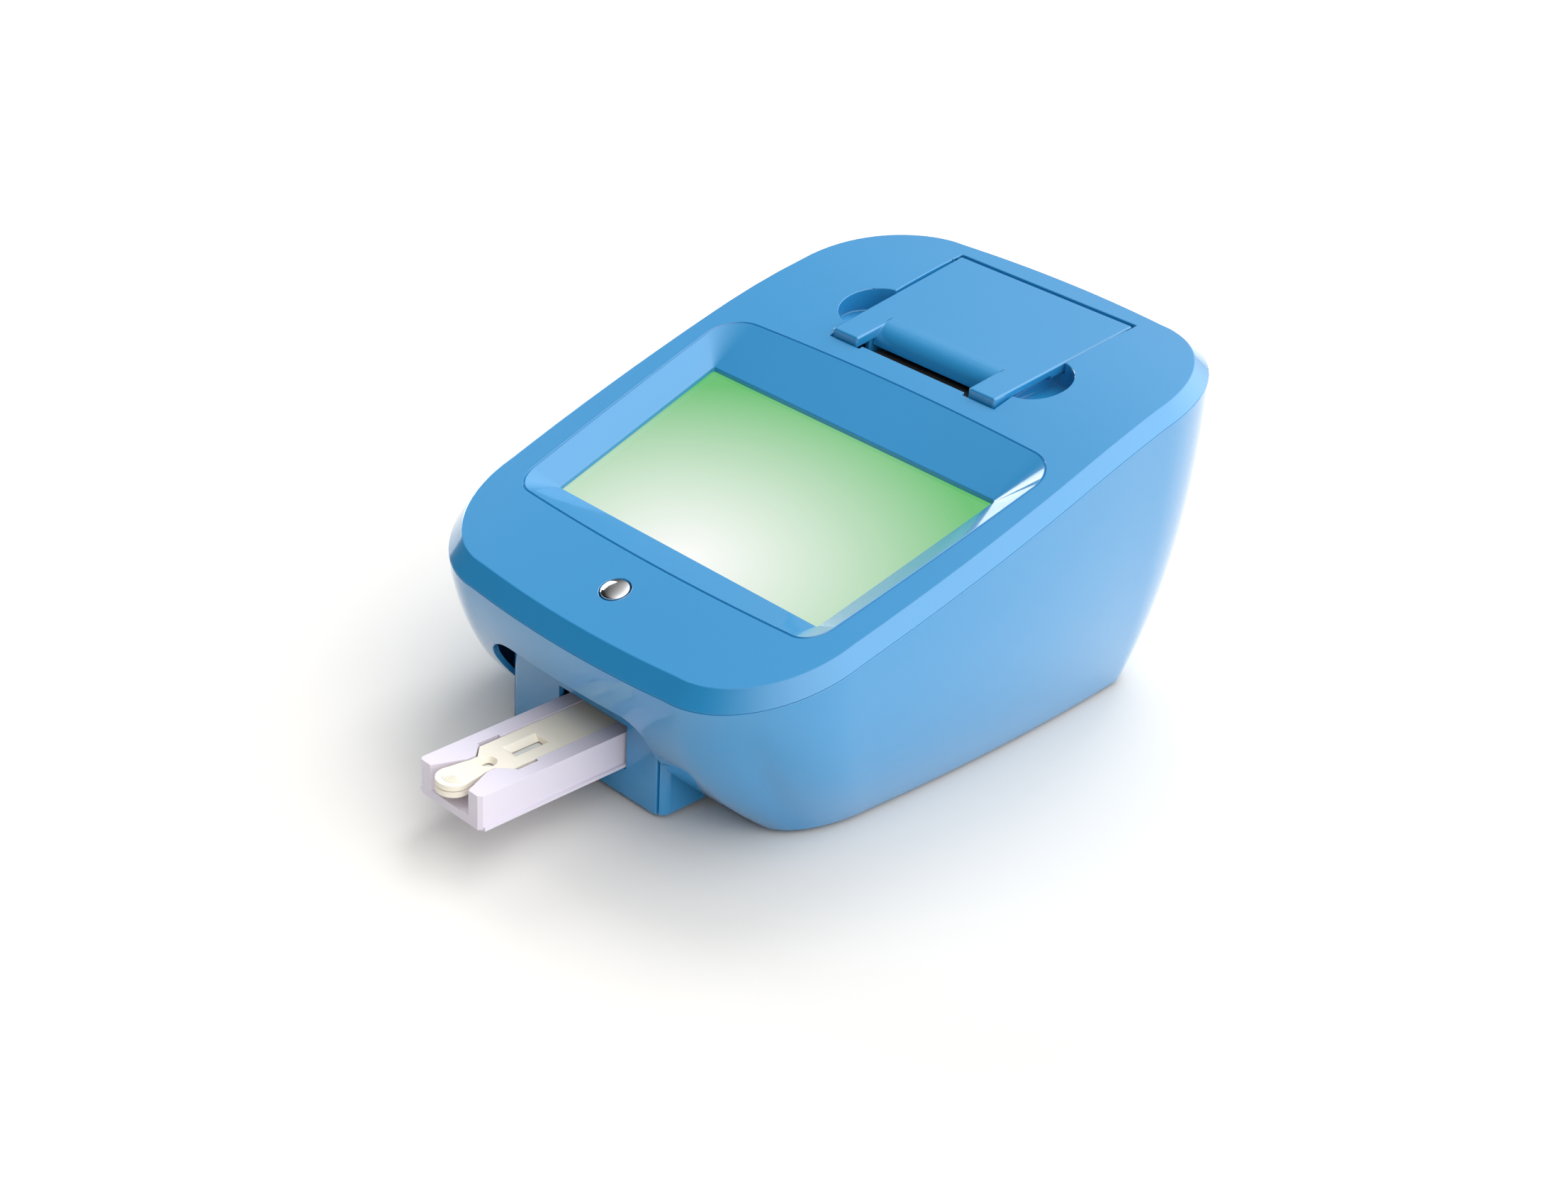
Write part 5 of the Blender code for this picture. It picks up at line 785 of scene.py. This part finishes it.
# Base plate, feet and screws.
# The base is a flat moulding screwed up into the housing's four posts, and it stands
# on four rubber feet that are pushed into it.
fine_edge, streak_depth = 0.1 * mm, 0.1 * mm
rubber_black, rubber_worn = (0.018, 0.018, 0.019, 1.0), (0.03, 0.03, 0.03, 1.0)
foot_rubber = moulded_plastic(
    "foot_rubber", rubber_black, rubber_worn, roughness=0.8, grain=2200.0, bump=0.5
)
steel_grey = (0.60, 0.61, 0.63, 1.0)


def worked_metal(name, colour, roughness, streak, bump):
    """Plated or turned metal with fine streaks along X."""
    material = bpy.data.materials.new(name)
    material.use_nodes = True
    nodes, links = material.node_tree.nodes, material.node_tree.links
    shader = nodes["Principled BSDF"]
    shader.inputs["Metallic"].default_value = 1.0
    place = nodes.new("ShaderNodeTexCoord")
    stretch = nodes.new("ShaderNodeMapping")
    stretch.inputs["Scale"].default_value = (0.04, 1.0, 1.0)
    lines = nodes.new("ShaderNodeTexNoise")
    lines.inputs["Scale"].default_value = streak
    lines.inputs["Detail"].default_value = 3.0
    links.new(place.outputs["Object"], stretch.inputs["Vector"])
    links.new(stretch.outputs["Vector"], lines.inputs["Vector"])
    tone = nodes.new("ShaderNodeMix")
    tone.data_type = "RGBA"
    tone.inputs["A"].default_value = colour
    tone.inputs["B"].default_value = tuple(c * 0.86 for c in colour[:3]) + (1.0,)
    links.new(lines.outputs["Fac"], tone.inputs["Factor"])
    links.new(tone.outputs["Result"], shader.inputs["Base Color"])
    spread = nodes.new("ShaderNodeMapRange")
    spread.inputs["To Min"].default_value = roughness * 0.7
    spread.inputs["To Max"].default_value = roughness * 1.3
    links.new(lines.outputs["Fac"], spread.inputs["Value"])
    links.new(spread.outputs["Result"], shader.inputs["Roughness"])
    relief = nodes.new("ShaderNodeBump")
    relief.inputs["Strength"].default_value = bump
    relief.inputs["Distance"].default_value = streak_depth
    links.new(lines.outputs["Fac"], relief.inputs["Height"])
    links.new(relief.outputs["Normal"], shader.inputs["Normal"])
    return material


plated_steel = worked_metal("plated_steel", steel_grey, roughness=0.32, streak=700.0, bump=0.12)
finished("base_plate", "underside", gloss_blue, "housing", soft_edge)
for place in ("front_left", "front_right", "rear_left", "rear_right"):
    finished(f"foot_{place}", f"rubber_foot_{place}", foot_rubber, "housing")
for number in range(1, 5):
    finished(f"base_screw_{number}", f"cross_screw_{number}", plated_steel, "housing", fine_edge)

# Screen.
# A flat touch glass lies under the sloping frame of the cover, over a backlit panel that
# shows a plain pale green field, white at the middle of its front edge.
screen_green = (0.13, 0.50, 0.155, 1.0)
screen_white = (0.98, 0.965, 0.965, 1.0)
glow_reach = (129.0 * mm, 93.0 * mm)


def lit_screen(name):
    """A backlit field whose glow fades from the middle of the screen's front edge."""
    material = bpy.data.materials.new(name)
    material.use_nodes = True
    nodes, links = material.node_tree.nodes, material.node_tree.links
    shader = nodes["Principled BSDF"]
    place = nodes.new("ShaderNodeTexCoord")
    glow = nodes.new("ShaderNodeMapping")
    across, along = 1 / glow_reach[0], 1 / glow_reach[1]
    glow.inputs["Location"].default_value = (0.0, -window_size["front"] * along, 0.0)
    glow.inputs["Scale"].default_value = (across, along, 0.0)
    ball = nodes.new("ShaderNodeTexGradient")
    ball.gradient_type = "SPHERICAL"
    tone = nodes.new("ShaderNodeMix")
    tone.data_type = "RGBA"
    tone.inputs["A"].default_value = screen_green
    tone.inputs["B"].default_value = screen_white
    links.new(place.outputs["Object"], glow.inputs["Vector"])
    links.new(glow.outputs["Vector"], ball.inputs["Vector"])
    links.new(ball.outputs["Fac"], tone.inputs["Factor"])
    links.new(tone.outputs["Result"], shader.inputs["Emission Color"])
    shader.inputs["Emission Strength"].default_value = 1.0
    shader.inputs["Base Color"].default_value = (0.01, 0.02, 0.01, 1.0)
    shader.inputs["Roughness"].default_value = 0.08
    return material


lit_glass = lit_screen("lit_glass")
finished("touch_glass", "touch_panel", lit_glass, "housing", fine_edge)
finished("display_module", "display_back", plated_steel, "housing", soft_edge)

# Power button.
# A domed cap in bright plated plastic that rides in a hole of the cover, over a switch on a
# small board that two posts of the cover hold.
bright_grey = (0.80, 0.80, 0.81, 1.0)
mask_green, mask_dark = (0.012, 0.16, 0.05, 1.0), (0.01, 0.12, 0.04, 1.0)
bright_plate = worked_metal("bright_plate", bright_grey, roughness=0.12, streak=500.0, bump=0.03)
board_green = moulded_plastic(
    "board_green", mask_green, mask_dark, roughness=0.35, grain=700.0, bump=0.1
)
finished("power_button", "button_cap", bright_plate, "button", crisp=50)
finished("switch_board", "button_board", board_green, "housing")

# Printer.
# Under the door a moulded bucket holds the paper roll. The door carries the rubber platen,
# which a nylon gear turns against the print head, and the tear bar stands in front.
black_dark, black_worn = (0.02, 0.02, 0.022, 1.0), (0.025, 0.025, 0.028, 1.0)
paper_white, paper_shade = (0.80, 0.80, 0.78, 1.0), (0.74, 0.74, 0.72, 1.0)
nylon_pale, nylon_shade = (0.78, 0.77, 0.70, 1.0), (0.72, 0.71, 0.65, 1.0)
matt_black = moulded_plastic(
    "matt_black", black_dark, black_worn, roughness=0.5, grain=1500.0, bump=0.25
)
roll_white = moulded_plastic(
    "roll_white", paper_white, paper_shade, roughness=0.75, grain=1200.0, bump=0.2
)
natural_nylon = moulded_plastic(
    "natural_nylon", nylon_pale, nylon_shade, roughness=0.45, grain=900.0, bump=0.1
)
for side in ("left", "right"):
    finished(f"door_hinge_pin_{side}", f"hinge_pin_{side}", plated_steel, "housing")
finished("platen_roller", "rubber_platen", foot_rubber, "platen", fine_edge)
finished("printer_drive_gear", "drive_gear", natural_nylon, "printer_gear")
finished("print_mechanism", "print_head_block", matt_black, "housing", soft_edge)
finished("paper_bucket", "roll_bucket", matt_black, "housing", soft_edge)
finished("paper_roll", "thermal_roll", roll_white, "roll", soft_edge)

# Cassette tray.
# The tray is a satin lavender-grey moulding that slides in two rails. A nylon pinion on the
# tray motor's shaft drives the rack under it.
tray_edge = 0.3 * mm
lavender, lavender_shade = (0.76, 0.71, 0.80, 1.0), (0.72, 0.67, 0.77, 1.0)
tray_grey = moulded_plastic(
    "tray_grey", lavender, lavender_shade, roughness=0.32, grain=1100.0, bump=0.12
)
finished("cassette_tray", "slide_tray", tray_grey, "tray", tray_edge)
finished("tray_rack", "nylon_rack", natural_nylon, "tray")
finished("tray_pinion", "nylon_pinion", natural_nylon, "pinion")
finished("tray_motor", "gear_motor", plated_steel, "housing", fine_edge)
for side in ("left", "right"):
    finished(f"tray_rail_{side}", f"slide_rail_{side}", matt_black, "housing", fine_edge)

# Test cassette.
# Two cream mouldings snap together round a paper strip. The cover has the sample well and
# the read window, and the front ends in a spoon-shaped grip with raised arcs.
cream_light, cream_shade = (0.90, 0.84, 0.72, 1.0), (0.87, 0.81, 0.69, 1.0)
grip_inset, rib_count = 7.4 * mm, 5
rib_pitch, rib_width, rib_height, rib_root = 0.95 * mm, 0.4 * mm, 0.25 * mm, 0.1 * mm
cream = moulded_plastic("cream", cream_light, cream_shade, roughness=0.4, grain=900.0, bump=0.1)
finished("cassette_base", "cassette_tub", cream, "tray", soft_edge)
finished("cassette_cover", "cassette_lid", cream, "tray", soft_edge)
finished("test_strip", "reagent_strip", roll_white, "tray")


def grip_arcs():
    """Raised half rings on the grip, one inside the other."""
    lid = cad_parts["cassette_cover"]
    corners = [lid.matrix_world @ Vector(corner) for corner in lid.bound_box]
    tip, top = min(corner.y for corner in corners), max(corner.z for corner in corners)
    middle = (0.0, tip + grip_inset)
    bm = bmesh.new()
    for number in range(1, rib_count + 1):
        steps = 8 + 4 * number
        reach = number * rib_pitch
        outer = arc(middle, (reach, reach), 190, 350, steps)
        inner = arc(middle, (reach - rib_width, reach - rib_width), 350, 190, steps)
        low = ring_of_edges(bm, [(x, y, top - rib_root) for x, y in outer + inner])
        high = ring_of_edges(bm, [(x, y, top + rib_height) for x, y in outer + inner])
        bmesh.ops.bridge_loops(bm, edges=low + high)
        for loop in (low, high):
            bmesh.ops.edgeloop_fill(bm, edges=loop)
    return solid("grip_arcs", bm)


arcs = dressed(grip_arcs(), cream, crisp=30, radius=fine_edge)
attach(arcs, "tray")

# Optics.
# A folded steel bridge stands over the tray's path and carries the sealed optical head, with
# its lens, its light source and its detector board. The control board lies on the base.
clear_lens = bpy.data.materials.new("clear_lens")
clear_lens.use_nodes = True
shader = clear_lens.node_tree.nodes["Principled BSDF"]
shader.inputs["Base Color"].default_value = (0.85, 0.92, 0.95, 1.0)
shader.inputs["Roughness"].default_value = 0.03
shader.inputs["Transmission Weight"].default_value = 0.9
finished("optics_bridge", "folded_bridge", plated_steel, "housing", fine_edge)
finished("optical_head", "sealed_head", matt_black, "housing", soft_edge)
finished("objective_lens", "ground_lens", clear_lens, "housing")
finished("excitation_led", "light_source", bright_plate, "housing")
finished("detector_board", "photodiode_board", board_green, "housing")
finished("main_board", "control_board", board_green, "housing")

# Connectors.
# Moulded and plated sockets set in the recess at the back: a round power inlet, two data
# sockets, and the mains rocker in its frame.
finished("power_inlet", "round_inlet", matt_black, "housing", fine_edge)
finished("data_port_1", "data_socket_1", plated_steel, "housing")
finished("data_port_2", "data_socket_2", plated_steel, "housing")
finished("rocker_frame", "switch_surround", matt_black, "housing", fine_edge)
finished("rocker_key", "switch_rocker", matt_black, "rocker", soft_edge)
